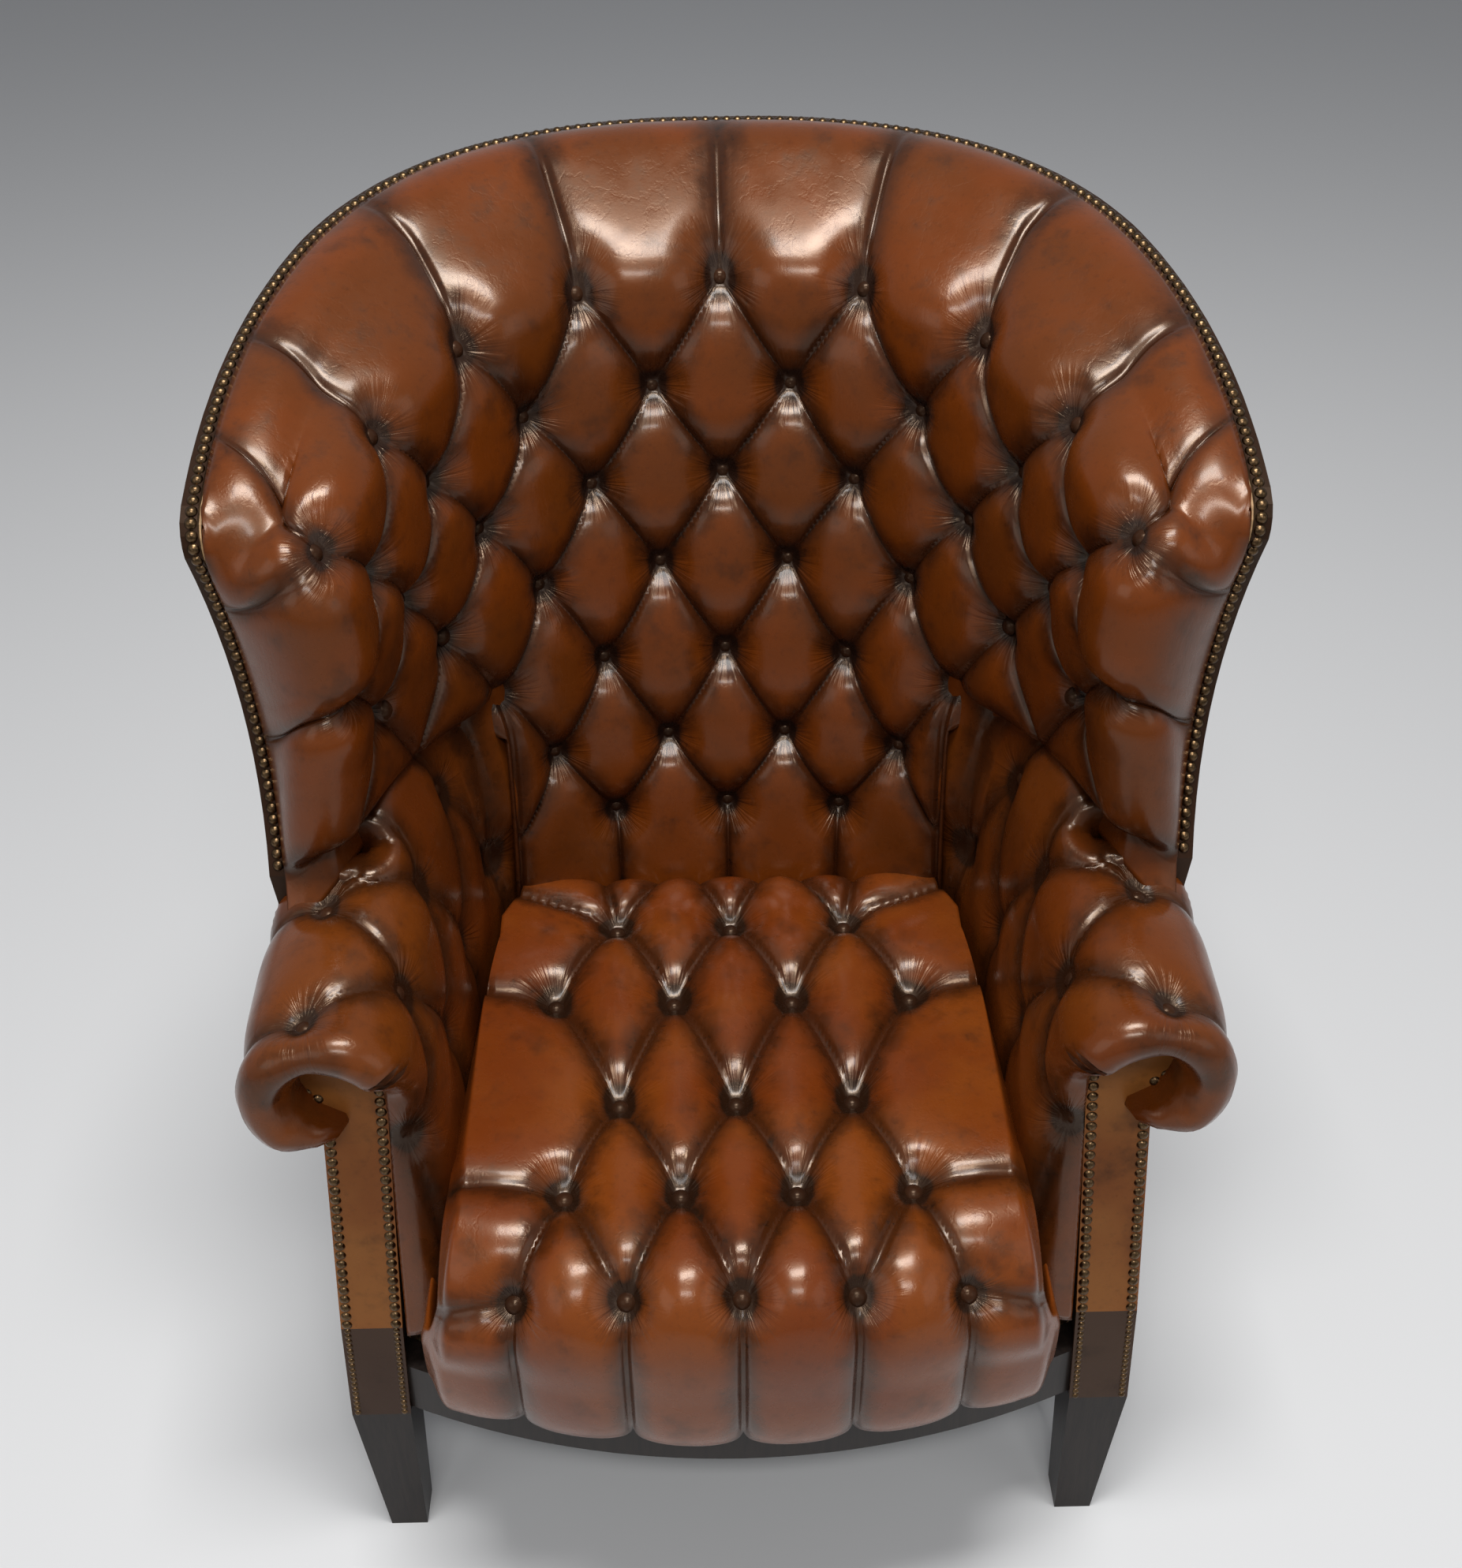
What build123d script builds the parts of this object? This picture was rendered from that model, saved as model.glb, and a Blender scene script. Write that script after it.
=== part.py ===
from build123d import *
import math
import os

# A hall porter's chair: a barrel back with wings, scroll arms and a bowed seat, all in buttoned leather.
# Millimetres. X runs across, Y from the nose of the seat (-) to the back (+), Z up from the floor.

# Overall sizes
overall_depth = 796
leather_foot = 183        # the lower edge of the outside leather
rim_height = 1151         # the nailed rim at the centre of the back
rim_roll = 15             # the padding's crest stands this far above the rim
clear = 0.3               # room between curved pieces that touch

# The outside of the barrel: a horseshoe plan at the foot and at the rim
foot_half_width = 358
rim_half_width = 416
foot_back_y = 173
rim_back_y = overall_depth / 2
foot_plan_depth = 570
rim_plan_depth = 522
plan_power = 2.4
plan_angles = (-90, -56, -28, 0, 28, 56, 90)   # where arcs join round the plan
over = 20                 # how far cutters run past what they cut
outline_steps = 12        # flats in the side view of a wing's front and of the rim
tip_steps = 4             # flats round a wing's top corner

# The side outline of the wing and rim
wing_foot_y = -131
wing_foot_z = 687
wing_waist_y = -86
wing_waist_z = 858
wing_tip_y = -106
wing_tip_z = 972
tip_corner_y = -101
tip_corner_z = 991
rim_front_y = -85
rim_front_z = 1005
rim_middle_y = 150
rim_middle_z = 1098
wing_lap = 2              # what the arm's leather laps under the wing

# Layers of the barrel, measured in from its outside
outside_leather = 3
frame_thickness = 30
hessian_thickness = 1.8
frame_inset = outside_leather + clear
frame_back = frame_inset + frame_thickness
pad_inset = frame_back + clear + hessian_thickness + clear
band_width = 13
band_thickness = 2.5
pad_edge_inset = 15       # the pad's leather stops this far in, beside the band

# The buttoned inside of the back
seat_line = 470           # where the back meets the seat
upper_line = 1000         # where the upper plan is measured
inside_half_width_low = 237
inside_half_width_high = 326
inside_depth_low = 56
inside_depth_high = 549
inside_back_y_low = 130
inside_back_y_high = 250
inside_power = 2.447
button_pitch_low = 110
button_pitch_high = 129
row_heights = (1048, 959, 879, 797, 710)
lower_row_heights = (710, 625, 552, 452)
row_droop = 5.0           # how far the top row falls at the first column, and more by its square
wing_columns = 4
lower_columns = 2
wing_seam_drop = 10       # the arm's seam falls this much for each column of the wing
pillow_height = 27
pillow_round_share = 0.75   # how full a pillow is half way from its edge to its crest
lower_half_width = 215
hidden_wing_y = -60       # inside the wing's timber
tip_shares = (0.15, 0.6, 0.98)
tip_step = 8
tip_flat_share = 0.5
rim_pleat_depth = 7
rim_pitch = 174
tip_pitch = 131
rim_shoulder_inset = 70
rim_shoulder_drop = 20
rim_crest_inset = 42
wing_roll_reach = 36      # the wing's padding stands this far ahead of its buttons

# The seat
seat_pitch_front = 91.5      # buttons of the front row
seat_row_ys = (-388, -293, -194, -70, 32)
seat_row_pitches = (seat_pitch_front, 97, 102, 110, 111)
seat_button_heights = (455, 466, 470, 474, 476)
seat_rear_y = 94
seat_tail_y = 122
seat_tail_half_width = 140
seat_tail_z = 447
seat_columns = 2
seat_edge_share = 0.5     # what is left of a pillow where the seat meets the arm
seat_rear_lift = 6
seat_rear_share = 0.25   # of a column, beyond the last one at the rear
seat_side_ease = 8
seat_pillow = 24
nose_y = -overall_depth / 2
nose_height = 362
nose_bow = 58
nose_pleat_depth = 8
nose_half_width = 290
nose_back_y = -300
nose_low_y = -391
nose_low_height = 305
nose_button_tilt = 0.6
front_row_bow_share = 0.8
sight_slope = 1.3         # how much the front row falls for each millimetre it goes back
seat_foot_y = -361
seat_foot_z = 250.3
seat_underside = 388
arm_clearance = 7

# The arms
arm_face_ys = (-292, -276, -216, -156, -96, -36, 24, 104)
arm_face_half_widths = (285, 279, 262, 254, 250, 247, 240, 218)
arm_pad_foot = 300
arm_corner_y = 118
roll_centre_x = 322
roll_centre_z = 597
roll_radius = 70
roll_rise = 20            # how much the roll climbs from its front to the wing
arm_core_radius = 40
roll_nose_y = nose_y + 58
arm_pitch = 120
first_arm_row_y = -276
arm_button_sink = 16
arm_low_row = 530
arm_low_sink = 10
arm_seam_gap = 4
arm_wall_share = 0.55      # how far up the arm's inner face the lower buttons are
arm_low_share = 0.4
nose_outer_share = 0.9    # the roll's bulging front, as shares of the roll's radius
nose_inner_share = 0.7
nose_drop_share = 0.3
neck_drop_share = 0.5

# The legs, posts and facings
leg_front_y = -299.7
leg_block = 54
leg_foot_size = 35
leg_outer_x = 359
leg_foot_outer_x = 345
post_lean = 24            # what the facing leans in by, up to the scroll
post_rake = 30            # what it leans back by
post_size = 46
panel_top = 310
facing_thickness = 4
post_inner_inset = 4
leg_foot_front_y = -298
outside_arm_top = 530
rear_leg_ease = 4         # the rear leg's head keeps this far inside the leather
rear_leg_outer_x = 250
rear_leg_width = 46
rear_foot_size = 36
rear_splay = 74

# The seat frame
rail_foot = 188
rail_top = 290
rail_thickness = 30
front_rail_bow = 42       # how far the rail falls back at the rear legs' outer side
side_rail_inset = 13
side_rail_thickness = 28
front_rail_front_y = -357
front_rail_height = 62
corner_block_lift = 4
corner_block_height = 54
corner_block_leg = 55
corner_block_short_share = 0.25   # the rear blocks' short side, of the long one
corner_screw_radius = 2.5
screw_length = 40
front_screw_x = 282
side_screw_y = -215
back_screw_x = 195
dowel_radius = 5
dowel_length = 50
dowel_lift = 16
dowel_spacing = 30
rear_dowel_share = 0.8
fastener_room = 0.1
band_foot = 560
hessian_foot = 452
hoop_width = 58
wing_post_width = 34
wing_post_top = 940
wing_rail_low = 640
wing_rail_high = 680
slat_x = 75
slat_width = 40

# The springing
web_width = 50
web_thickness = 2
long_web_pitch = 80
long_webs = 5
cross_web_ys = (-222, -160, -98, -36)
spring_xs = (-140, 0, 140)
spring_ys = (-225, -110, 5)
spring_radius = 42
spring_wire = 2
spring_turns = 5
spring_top = 350
stuffing_inset = 25
web_end_room = 6
dust_cover_thickness = 1.5
dust_cover_inset = 15

# Nails and buttons
nail_radius = 4.7
nail_height = 3
rim_nail_pitch = 9.8
facing_nail_pitch = 10.4
panel_nail_radius = 3.1
panel_nail_height = 2
panel_nail_pitch = 7
nail_margin = 5.5
nail_walk = 4
nail_lift = 0.15          # a flat nail's room over the bent edge
outer_edge_stop = 0.6    # the outer nails stop short of the roll by this share of its radius
scroll_nails_start = -62
scroll_nails_end = 10
button_radius = 8.5
button_height = 6
button_sink = 1
back_button_tilt = 0.15
low_button_tilt = 0.2
line_tolerance = 0.05


def between(low, high, share):
    return low + (high - low) * share


def shell_plan(z):
    """Half width, depth and back of the barrel's outside at a height."""
    share = (z - leather_foot) / (rim_height - leather_foot)
    return (
        between(foot_half_width, rim_half_width, share),
        between(foot_plan_depth, rim_plan_depth, share),
        between(foot_back_y, rim_back_y, share),
    )


def shell_point(z, inset, angle):
    """A point of the barrel's outside plan; angle 0 is the centre back and 90 the side."""
    half_width, depth, back_y = shell_plan(z)
    turn = math.radians(abs(angle))
    across = math.sin(turn) ** (2 / plan_power)
    along = math.cos(turn) ** (2 / plan_power)
    x = math.copysign((half_width - inset) * across, angle)
    return (x, back_y - inset - (depth - inset) * (1 - along), z)


def shell_x(y, z, inset):
    """Half width of the barrel's outside at a place along the chair."""
    half_width, depth, back_y = shell_plan(z)
    share = max((y - back_y + depth) / (depth - inset), 0)
    return (half_width - inset) * max(1 - share**plan_power, 0) ** (1 / plan_power)


def inside_plan(z):
    """Half width, depth and back of the buttoned inside, at the buttons, at a height."""
    share = (z - seat_line) / (upper_line - seat_line)
    return (
        between(inside_half_width_low, inside_half_width_high, share),
        between(inside_depth_low, inside_depth_high, share),
        between(inside_back_y_low, inside_back_y_high, share),
    )


def plan_walk(half_width, depth, back_y, power, distance):
    """The point at a distance from the centre back along a horseshoe, and the way into it."""
    steps = 240
    walked, x, y = 0, 0, back_y
    for step in range(1, steps + 1):
        turn = math.pi / 2 * (step / steps) ** 2
        next_x = half_width * math.sin(turn) ** (2 / power)
        next_y = back_y - depth * (1 - max(math.cos(turn), 0) ** (2 / power))
        length = math.hypot(next_x - x, next_y - y)
        if walked + length >= abs(distance):
            share = (abs(distance) - walked) / length
            inward = ((next_y - y) / length, -(next_x - x) / length)
            x, y = between(x, next_x, share), between(y, next_y, share)
            return math.copysign(x, distance), y, math.copysign(inward[0], -distance), inward[1]
        walked, x, y = walked + length, next_x, next_y
    return math.copysign(x, distance), y - abs(distance) + walked, math.copysign(1, -distance), 0


def curve(start, middle, end):
    """An arc through three points, or a line where they are in line."""
    a, m, b = Vector(*start), Vector(*middle), Vector(*end)
    off_line = (m - a).cross(b - a).length / (b - a).length
    return ThreePointArc(a, m, b) if off_line > line_tolerance else Line(a, b)


def closed_wire(points, middles):
    """A closed wire; middles holds the middle point of each side that is an arc, by its number."""
    edges = []
    for i, start in enumerate(points):
        end = points[(i + 1) % len(points)]
        edges.append(curve(start, middles[i], end) if i in middles else Line(start, end))
    return Wire(edges)


def loft_through(sections):
    return Solid.make_loft([closed_wire(*section) for section in sections], ruled=True)


def block(x0, x1, y0, y1, z0, z1):
    return Pos(x0, y0, z0) * Box(x1 - x0, y1 - y0, z1 - z0, align=(Align.MIN, Align.MIN, Align.MIN))


def mirrored(shape):
    return shape.mirror(Plane.YZ)


def largest(shape):
    return max(shape.solids(), key=lambda solid: solid.volume)


def group(solids):
    return Compound(children=list(solids))


def circle_through(a, b, c):
    """Centre and radius of the circle through three points of a plane."""
    ab = (b[0] - a[0], b[1] - a[1], b[0] ** 2 + b[1] ** 2 - a[0] ** 2 - a[1] ** 2)
    ac = (c[0] - a[0], c[1] - a[1], c[0] ** 2 + c[1] ** 2 - a[0] ** 2 - a[1] ** 2)
    det = 2 * (ab[0] * ac[1] - ab[1] * ac[0])
    x = (ab[2] * ac[1] - ac[2] * ab[1]) / det
    y = (ab[0] * ac[2] - ac[0] * ab[2]) / det
    return x, y, math.hypot(a[0] - x, a[1] - y)


# The side outline: the wing's hollow front edge, its rounded tip, and the rim


def rim_z(y):
    """Height of the rim at a place along the chair."""
    front, middle = (rim_front_y, rim_front_z), (rim_middle_y, rim_middle_z)
    back = (rim_back_y, rim_height)
    centre_y, centre_z, radius = circle_through(front, middle, back)
    return centre_z + math.sqrt(radius**2 - (y - centre_y) ** 2)


def wing_front(z):
    """Where the wing's front edge is at a height."""
    if z > wing_tip_z:
        points = (wing_tip_y, wing_tip_z), (tip_corner_y, tip_corner_z), (rim_front_y, rim_front_z)
        side = -1
    else:
        points = (wing_foot_y, wing_foot_z), (wing_waist_y, wing_waist_z), (wing_tip_y, wing_tip_z)
        side = 1
    centre_y, centre_z, radius = circle_through(*points)
    return centre_y + side * math.sqrt(max(radius**2 - (z - centre_z) ** 2, 0))


def side_outline(inset):
    """The side view of the wings and rim as a prism across the chair, set back and down by the inset."""
    low = leather_foot - over
    far = rim_back_y + over
    points = [(0, wing_foot_y, low)]
    for i in range(outline_steps + 1):
        z = between(wing_foot_z, wing_tip_z, i / outline_steps)
        points.append((0, wing_front(z), z))
    for i in range(1, tip_steps):
        z = between(wing_tip_z, rim_front_z, i / tip_steps)
        points.append((0, wing_front(z), z))
    for i in range(outline_steps + 1):
        y = between(rim_front_y, rim_back_y, i / outline_steps)
        points.append((0, y, rim_z(y)))
    points += [(0, far, rim_height), (0, far, low)]
    prism = extrude(Face(closed_wire(points, {})), amount=rim_half_width + over, dir=(1, 0, 0), both=True)
    return Pos(0, inset, -inset) * prism


# The barrel's shells


def horseshoe(z, outer_inset, inner_inset):
    """The closed ring between two insets of the barrel's plan."""
    front_y = foot_back_y - foot_plan_depth - over
    points, middles = [], {}
    for inset, order in ((outer_inset, plan_angles), (inner_inset, plan_angles[::-1])):
        end_x = shell_point(z, inset, order[0])[0]
        points.append((end_x, front_y, z))
        for here, there in zip(order, order[1:]):
            middles[len(points)] = shell_point(z, inset, (here + there) / 2)
            points.append(shell_point(z, inset, here))
        points.append(shell_point(z, inset, order[-1]))
        points.append((-end_x, front_y, z))
    return points, middles


def ring_of(outer_inset, inner_inset):
    heights = (leather_foot, rim_height + over)
    return loft_through([horseshoe(z, outer_inset, inner_inset) for z in heights])


def shell(outer_inset, inner_inset, outline_inset):
    """A shell of the barrel between two insets of its plan, cut to the side outline."""
    return ring_of(outer_inset, inner_inset) & side_outline(outline_inset)


wood_top = band_thickness + clear
leather_shell = shell(0, outside_leather, wood_top)
frame_shell = shell(frame_inset, frame_back, wood_top)
envelope = shell(-over, pad_inset, wood_top) + shell(-over, band_width + clear, 0)


def zone(x0, x1, y0, y1, z0, z1):
    """A cutting block, with a side left at None run past the chair."""
    far = overall_depth
    low = [-far if v is None else v for v in (x0, y0, z0)]
    high = [far * 2 if v is None else v for v in (x1, y1, z1)]
    return block(low[0], high[0], low[1], high[1], low[2], high[2])


def shell_y(x, z, inset):
    """Back of the barrel's outside at a place across the chair."""
    half_width, depth, back_y = shell_plan(z)
    share = min(abs(x) / (half_width - inset), 1)
    return back_y - inset - (depth - inset) * (1 - (1 - share**plan_power) ** (1 / plan_power))


# The inside of the back: a button or the crest of a pillow stands at each half column of each row


def plan_at(z, column):
    """The button surface at a height and a column, and the way into the barrel."""
    half_width, depth, back_y = inside_plan(z)
    share = (z - seat_line) / (upper_line - seat_line)
    pitch = between(button_pitch_low, button_pitch_high, share)
    return plan_walk(half_width, depth, back_y, inside_power, column * pitch)


def back_point(column, z, lift):
    x, y, inward_x, inward_y = plan_at(z, column)
    return (x + inward_x * lift, y + inward_y * lift, z)


def row_z(row, column):
    """Height of a row at a column: the upper rows fall towards the wings."""
    z = row_heights[row]
    share = max(z - row_heights[-2], 0) / (row_heights[0] - row_heights[-2])
    seam_columns = max(abs(column) - lower_columns, 0) if row == seam_row else 0
    return z - row_droop * share * column**2 - wing_seam_drop * seam_columns


def is_button(column, row):
    return round(2 * column + row) % 2 == 0


def row_lift(column, row):
    if row == seam_row and abs(column) > lower_columns:
        return 0
    return 0 if is_button(column, row) else pillow_height


def rim_point(column, inset, rise):
    """A point over the rim at a column, at an inset from the outside and a rise from the nail line."""
    whole = min(abs(column), wing_columns - 1)
    distance = math.copysign(rim_pitch * whole + tip_pitch * (abs(column) - whole), column)
    z = rim_middle_z
    for _ in range(4):
        x, y, inward_x, inward_y = plan_walk(*shell_plan(z), plan_power, distance)
        z = rim_z(max(y, rim_front_y))
    return (x + inward_x * inset, y + inward_y * inset, z + rise)


def behind(point, z, inset):
    """The place inside the shell straight behind a point of the pad: back, or out for a wing."""
    x, y, _ = point
    if abs(x) < lower_half_width + clear:
        return (x, shell_y(x, z, inset), z)
    return (math.copysign(shell_x(y, z, inset), x), y, z)


seam_row = len(row_heights) - 1

hidden_inset = pad_inset / 2


def back_slice(column):
    """The closed section of the upper pad at a column, from the seam up over the rim."""
    sink = 0 if round(2 * column) % 2 else rim_pleat_depth
    points, middles = [], {}
    for row in range(seam_row, -1, -1):
        z = row_z(row, column)
        if row < seam_row:
            lifts = (row_lift(column, row), row_lift(column, row + 1))
            full = between(min(lifts), max(lifts), pillow_round_share)
            middles[len(points) - 1] = back_point(column, (z + points[-1][2]) / 2, full)
        points.append(back_point(column, z, row_lift(column, row)))
    if abs(column) == lower_columns:
        points[0] = (math.copysign(lower_half_width, column), points[0][1], points[0][2])
    points.append(rim_point(column, rim_shoulder_inset - sink, -rim_shoulder_drop))
    points.append(rim_point(column, rim_crest_inset, rim_roll - sink / 2))
    points.append(rim_point(column, pad_edge_inset, 0))
    points.append(rim_point(column, hidden_inset, -rim_shoulder_drop))
    points.append(behind(points[0], points[0][2], hidden_inset))
    return points, middles


def wing_nail_point(z, inset, back):
    y = wing_front(z)
    return (shell_x(y, z, inset), y + back, z)


def wing_slice(side, share, reach, inset, back):
    """A section of the wing's front roll, between its last buttons and its nailed edge."""
    button_points, _ = back_slice(wing_columns)
    tip_heights = [between(wing_tip_z, rim_front_z, step) for step in tip_shares]
    heights = [point[2] for point in button_points[: seam_row + 1]]
    heights[-1] = min(heights[-1], tip_heights[0] - tip_step)
    points = []
    for near, z in zip(button_points[:-2], heights + tip_heights):
        far = wing_nail_point(z, inset, back)
        roll = reach if z < tip_heights[1] else reach / 2
        x, y = between(near[0], far[0], share), between(near[1], far[1], share) - roll
        points.append((side * x, y, between(near[2], far[2], share)))
    for near in button_points[-2:]:
        z = min(near[2], wing_tip_z)
        y = hidden_wing_y if share < 1 else hidden_wing_y - hidden_inset
        points.append((side * shell_x(y, z, hidden_inset), y, z))
    return points, {}


def wing_end_slice(side):
    """The last section, flat and inside the wing's timber, where the frame cuts the pad off."""
    points, _ = wing_slice(side, 1, 0, pad_edge_inset, 0)
    flat = []
    for i, (x, y, z) in enumerate(points):
        inset = pad_edge_inset if i < len(points) - 2 else hidden_inset
        height = min(z, wing_tip_z)
        if i < len(points) - 2:
            height = between(height, z, tip_flat_share)
        flat.append((side * shell_x(hidden_wing_y, height, inset), hidden_wing_y, height))
    return flat, {}


def lower_slice(column):
    """The closed section of the pad between the arms, from the seat up to the seam."""
    points, middles = [], {}
    for row in range(len(lower_row_heights) - 1, -1, -1):
        z = lower_row_heights[row]
        lift = 0 if row == len(lower_row_heights) - 1 else row_lift(column, row + seam_row)
        if points:
            full = between(min(lift, last), max(lift, last), pillow_round_share)
            middles[len(points) - 1] = back_point(column, (z + points[-1][2]) / 2, full)
        points.append(back_point(column, z, lift))
        last = lift
    if abs(column) == lower_columns:
        points = [(math.copysign(lower_half_width, column), y, z) for x, y, z in points]
        middles = {}
    points.append(behind(points[-1], points[-1][2], hidden_inset))
    points.append(behind((points[-1][0], 0, 0), points[0][2], hidden_inset))
    return points, middles


def half_steps(last):
    return [step / 2 for step in range(-2 * last, 2 * last + 1)]


def make_inside_back():
    wing = [(0.5, wing_roll_reach, pad_edge_inset, 0), (1, 0, pad_edge_inset, 0)]
    left = [wing_end_slice(-1)] + [wing_slice(-1, *values) for values in wing[::-1]]
    right = [wing_slice(1, *values) for values in wing] + [wing_end_slice(1)]
    upper = loft_through(left + [back_slice(column) for column in half_steps(wing_columns)] + right)
    lower = loft_through([lower_slice(column) for column in half_steps(lower_columns)])
    return largest(upper + lower - envelope)


# The arms


def seam_z(y):
    """Height of the seam between an arm and the wing above it, inside the barrel."""
    share = (y - wing_foot_y) / (arm_face_ys[-1] - wing_foot_y)
    return between(row_z(seam_row, wing_columns), row_heights[-1], share) - arm_seam_gap


def roll_z(y):
    """Height of the arm roll's centre."""
    share = (y - arm_face_ys[0]) / (wing_foot_y - arm_face_ys[0])
    return roll_centre_z + roll_rise * share


def post_inner_x(z):
    """The inner edge of the facing, which leans in as it goes up."""
    lean = post_lean * (z - leather_foot) / (roll_centre_z - leather_foot)
    return leg_outer_x - leg_block - lean


def face_y(z):
    """The front of the facing: upright on the leg, leaning back above it."""
    return leg_front_y + post_rake * max(z - panel_top, 0) / (roll_centre_z - panel_top)


def arm_row_phase(y):
    """1 at the rows of buttons along the top of the roll, 0 at the rows between them."""
    turns = (y - first_arm_row_y) / arm_pitch
    return 1 - abs(turns - round(turns)) * 2


def roll_point(y, z_centre, radius, angle):
    turn = math.radians(angle)
    return (roll_centre_x + radius * math.cos(turn), y, z_centre + radius * math.sin(turn))


ring_angles = (153, 75, 5, -65)
core_angles = (-65, 13, 91, 169)
hidden_steps = 8


def roll_ring(y, outer, inner, top_sink, side_sink):
    """The roll's outer points, its core's points, and the middle points of the arcs between."""
    z = roll_z(y)
    radii = (outer - side_sink, outer - top_sink, outer, outer)
    ring = [roll_point(y, z, radius, angle) for radius, angle in zip(radii, ring_angles)]
    core = [roll_point(y, z, inner, angle) for angle in core_angles]
    middles = {}
    for i in range(len(ring_angles) - 1):
        angle = (ring_angles[i] + ring_angles[i + 1]) / 2
        middles[i + 2] = roll_point(y, z, outer, angle)
        angle = (core_angles[i] + core_angles[i + 1]) / 2
        middles[i + 6] = roll_point(y, z, inner, angle)
    return ring, core, middles


def arm_front_slice(y, outer, inner, drop):
    """A section of the roll's bulging front, where the arm's inner face has not begun."""
    ring, core, middles = roll_ring(y, outer, inner, 0, 0)
    z = roll_z(y)
    left = roll_centre_x - outer
    low = [(left, y, z - drop), (left, y, z - drop * arm_wall_share)]
    right = roll_centre_x - inner
    end = [(right, y, z - drop * arm_low_share), (right, y, z - drop)]
    return low + ring + core + end, middles


def arm_slice(i):
    """A section of the arm ahead of the wing, from the seat up over the roll and round to its core."""
    y, half_width = arm_face_ys[i], arm_face_half_widths[i]
    phase = arm_row_phase(y)
    ring, core, middles = roll_ring(y, roll_radius, arm_core_radius + clear, arm_button_sink * phase,
                                    arm_button_sink * (1 - phase))
    side = between(half_width, roll_centre_x - roll_radius, arm_wall_share) + arm_low_sink * phase
    low = [(half_width, y, arm_pad_foot), (side, y, arm_low_row)]
    end = [(post_inner_x(z) - clear * 2, y, z) for z in (roll_centre_z, arm_pad_foot)]
    end[0] = (end[0][0], y, roll_z(y) - clear)
    points = low + ring + core + end
    if i < 2:
        for k in (0, 1, len(points) - 2, len(points) - 1):
            x, _, z = points[k]
            front_y = face_y(z) + facing_thickness + clear + post_inner_inset * i
            points[k] = (x, max(y, front_y) if i else front_y, z)
    return points, middles


def barrel_arm_slice(y, half_width):
    """A section of the arm inside the barrel, under the wing's seam."""
    phase = arm_row_phase(y)
    top, z = seam_z(y), roll_z(y)
    side = between(half_width, roll_centre_x - roll_radius, arm_wall_share / 2)
    low = [(half_width, y, arm_pad_foot), (side + arm_low_sink * phase, y, arm_low_row)]
    shoulder = (side + arm_low_sink + arm_button_sink * (1 - phase), y, z + roll_radius / 3)
    inner_top = (shoulder[0] + arm_button_sink, y, top)
    hidden = []
    for step in range(hidden_steps):
        height = between(top, arm_pad_foot, step / (hidden_steps - 1))
        x = max(shell_x(y, height, hidden_inset), inner_top[0] + over / hidden_steps)
        hidden.append((x, y, height))
    points = low + [shoulder, inner_top] + hidden
    middles = {2: ((shoulder[0] + clear, y, (shoulder[2] + top) / 2 + clear))}
    return points, middles


def arm_corner_slice():
    """The last section, in the barrel's corner, where the arm meets the side of the back's pad."""
    y, x = arm_corner_y, lower_half_width + clear
    top = seam_z(y)
    heights = (arm_pad_foot, arm_low_row, between(arm_low_row, top, pillow_round_share), top)
    points = [(x, y, z) for z in heights]
    for step in range(hidden_steps):
        height = between(top, arm_pad_foot, step / (hidden_steps - 1))
        points.append((max(shell_x(y, height, hidden_inset), x + over / hidden_steps), y, height))
    return points, {}


def arm_half_width(y):
    for i in range(len(arm_face_ys) - 1):
        if y <= arm_face_ys[i + 1]:
            share = (y - arm_face_ys[i]) / (arm_face_ys[i + 1] - arm_face_ys[i])
            return between(arm_face_half_widths[i], arm_face_half_widths[i + 1], max(share, 0))
    return arm_face_half_widths[-1]


def make_inside_arm():
    depth = arm_face_ys[0] - roll_nose_y
    sections = [
        arm_front_slice(roll_nose_y, nose_outer_share * roll_radius, nose_inner_share * roll_radius,
                        nose_drop_share * roll_radius),
        arm_front_slice(roll_nose_y + depth / 2, roll_radius, arm_core_radius + clear,
                        neck_drop_share * roll_radius),
    ]
    ahead = [i for i, y in enumerate(arm_face_ys) if y < wing_foot_y]
    sections += [arm_slice(i) for i in ahead]
    step_y = wing_foot_y - wing_lap
    y, half_width = arm_face_ys[ahead[-1]], arm_half_width(step_y)
    points, middles = arm_slice(ahead[-1])
    shift = step_y - y
    lift = roll_z(step_y) - roll_z(y)
    moved = [(px, py + shift, pz + (lift if 1 < k < 10 else 0)) for k, (px, py, pz) in enumerate(points)]
    moved_middles = {k: (px, py + shift, pz + lift) for k, (px, py, pz) in middles.items()}
    sections.append((moved, moved_middles))
    sections.append(barrel_arm_slice(wing_foot_y - clear, half_width))
    sections += [
        barrel_arm_slice(y, width) for y, width in zip(arm_face_ys, arm_face_half_widths) if y > wing_foot_y
    ]
    sections.append(arm_corner_slice())
    return largest(loft_through(sections) - envelope)


# The seat frame's joints


def rod(radius, start, end):
    way = Vector(*end) - Vector(*start)
    return extrude(Plane(origin=start, z_dir=way) * Circle(radius), amount=way.length)


def rail_middle(x, z):
    """The middle of the timber that the rear joints share, at a place across the chair."""
    inset = (side_rail_inset + frame_back) / 2
    return (x, shell_y(x, z, inset), z)


post_front = facing_thickness + clear
post_outer_inset = outside_leather + clear
post_back_y = leg_front_y + post_front + post_size
rear_leg_inner_x = rear_leg_outer_x - rear_leg_width
corner_z = rail_foot + corner_block_lift
screw_z = corner_z + corner_block_height / 2


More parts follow.
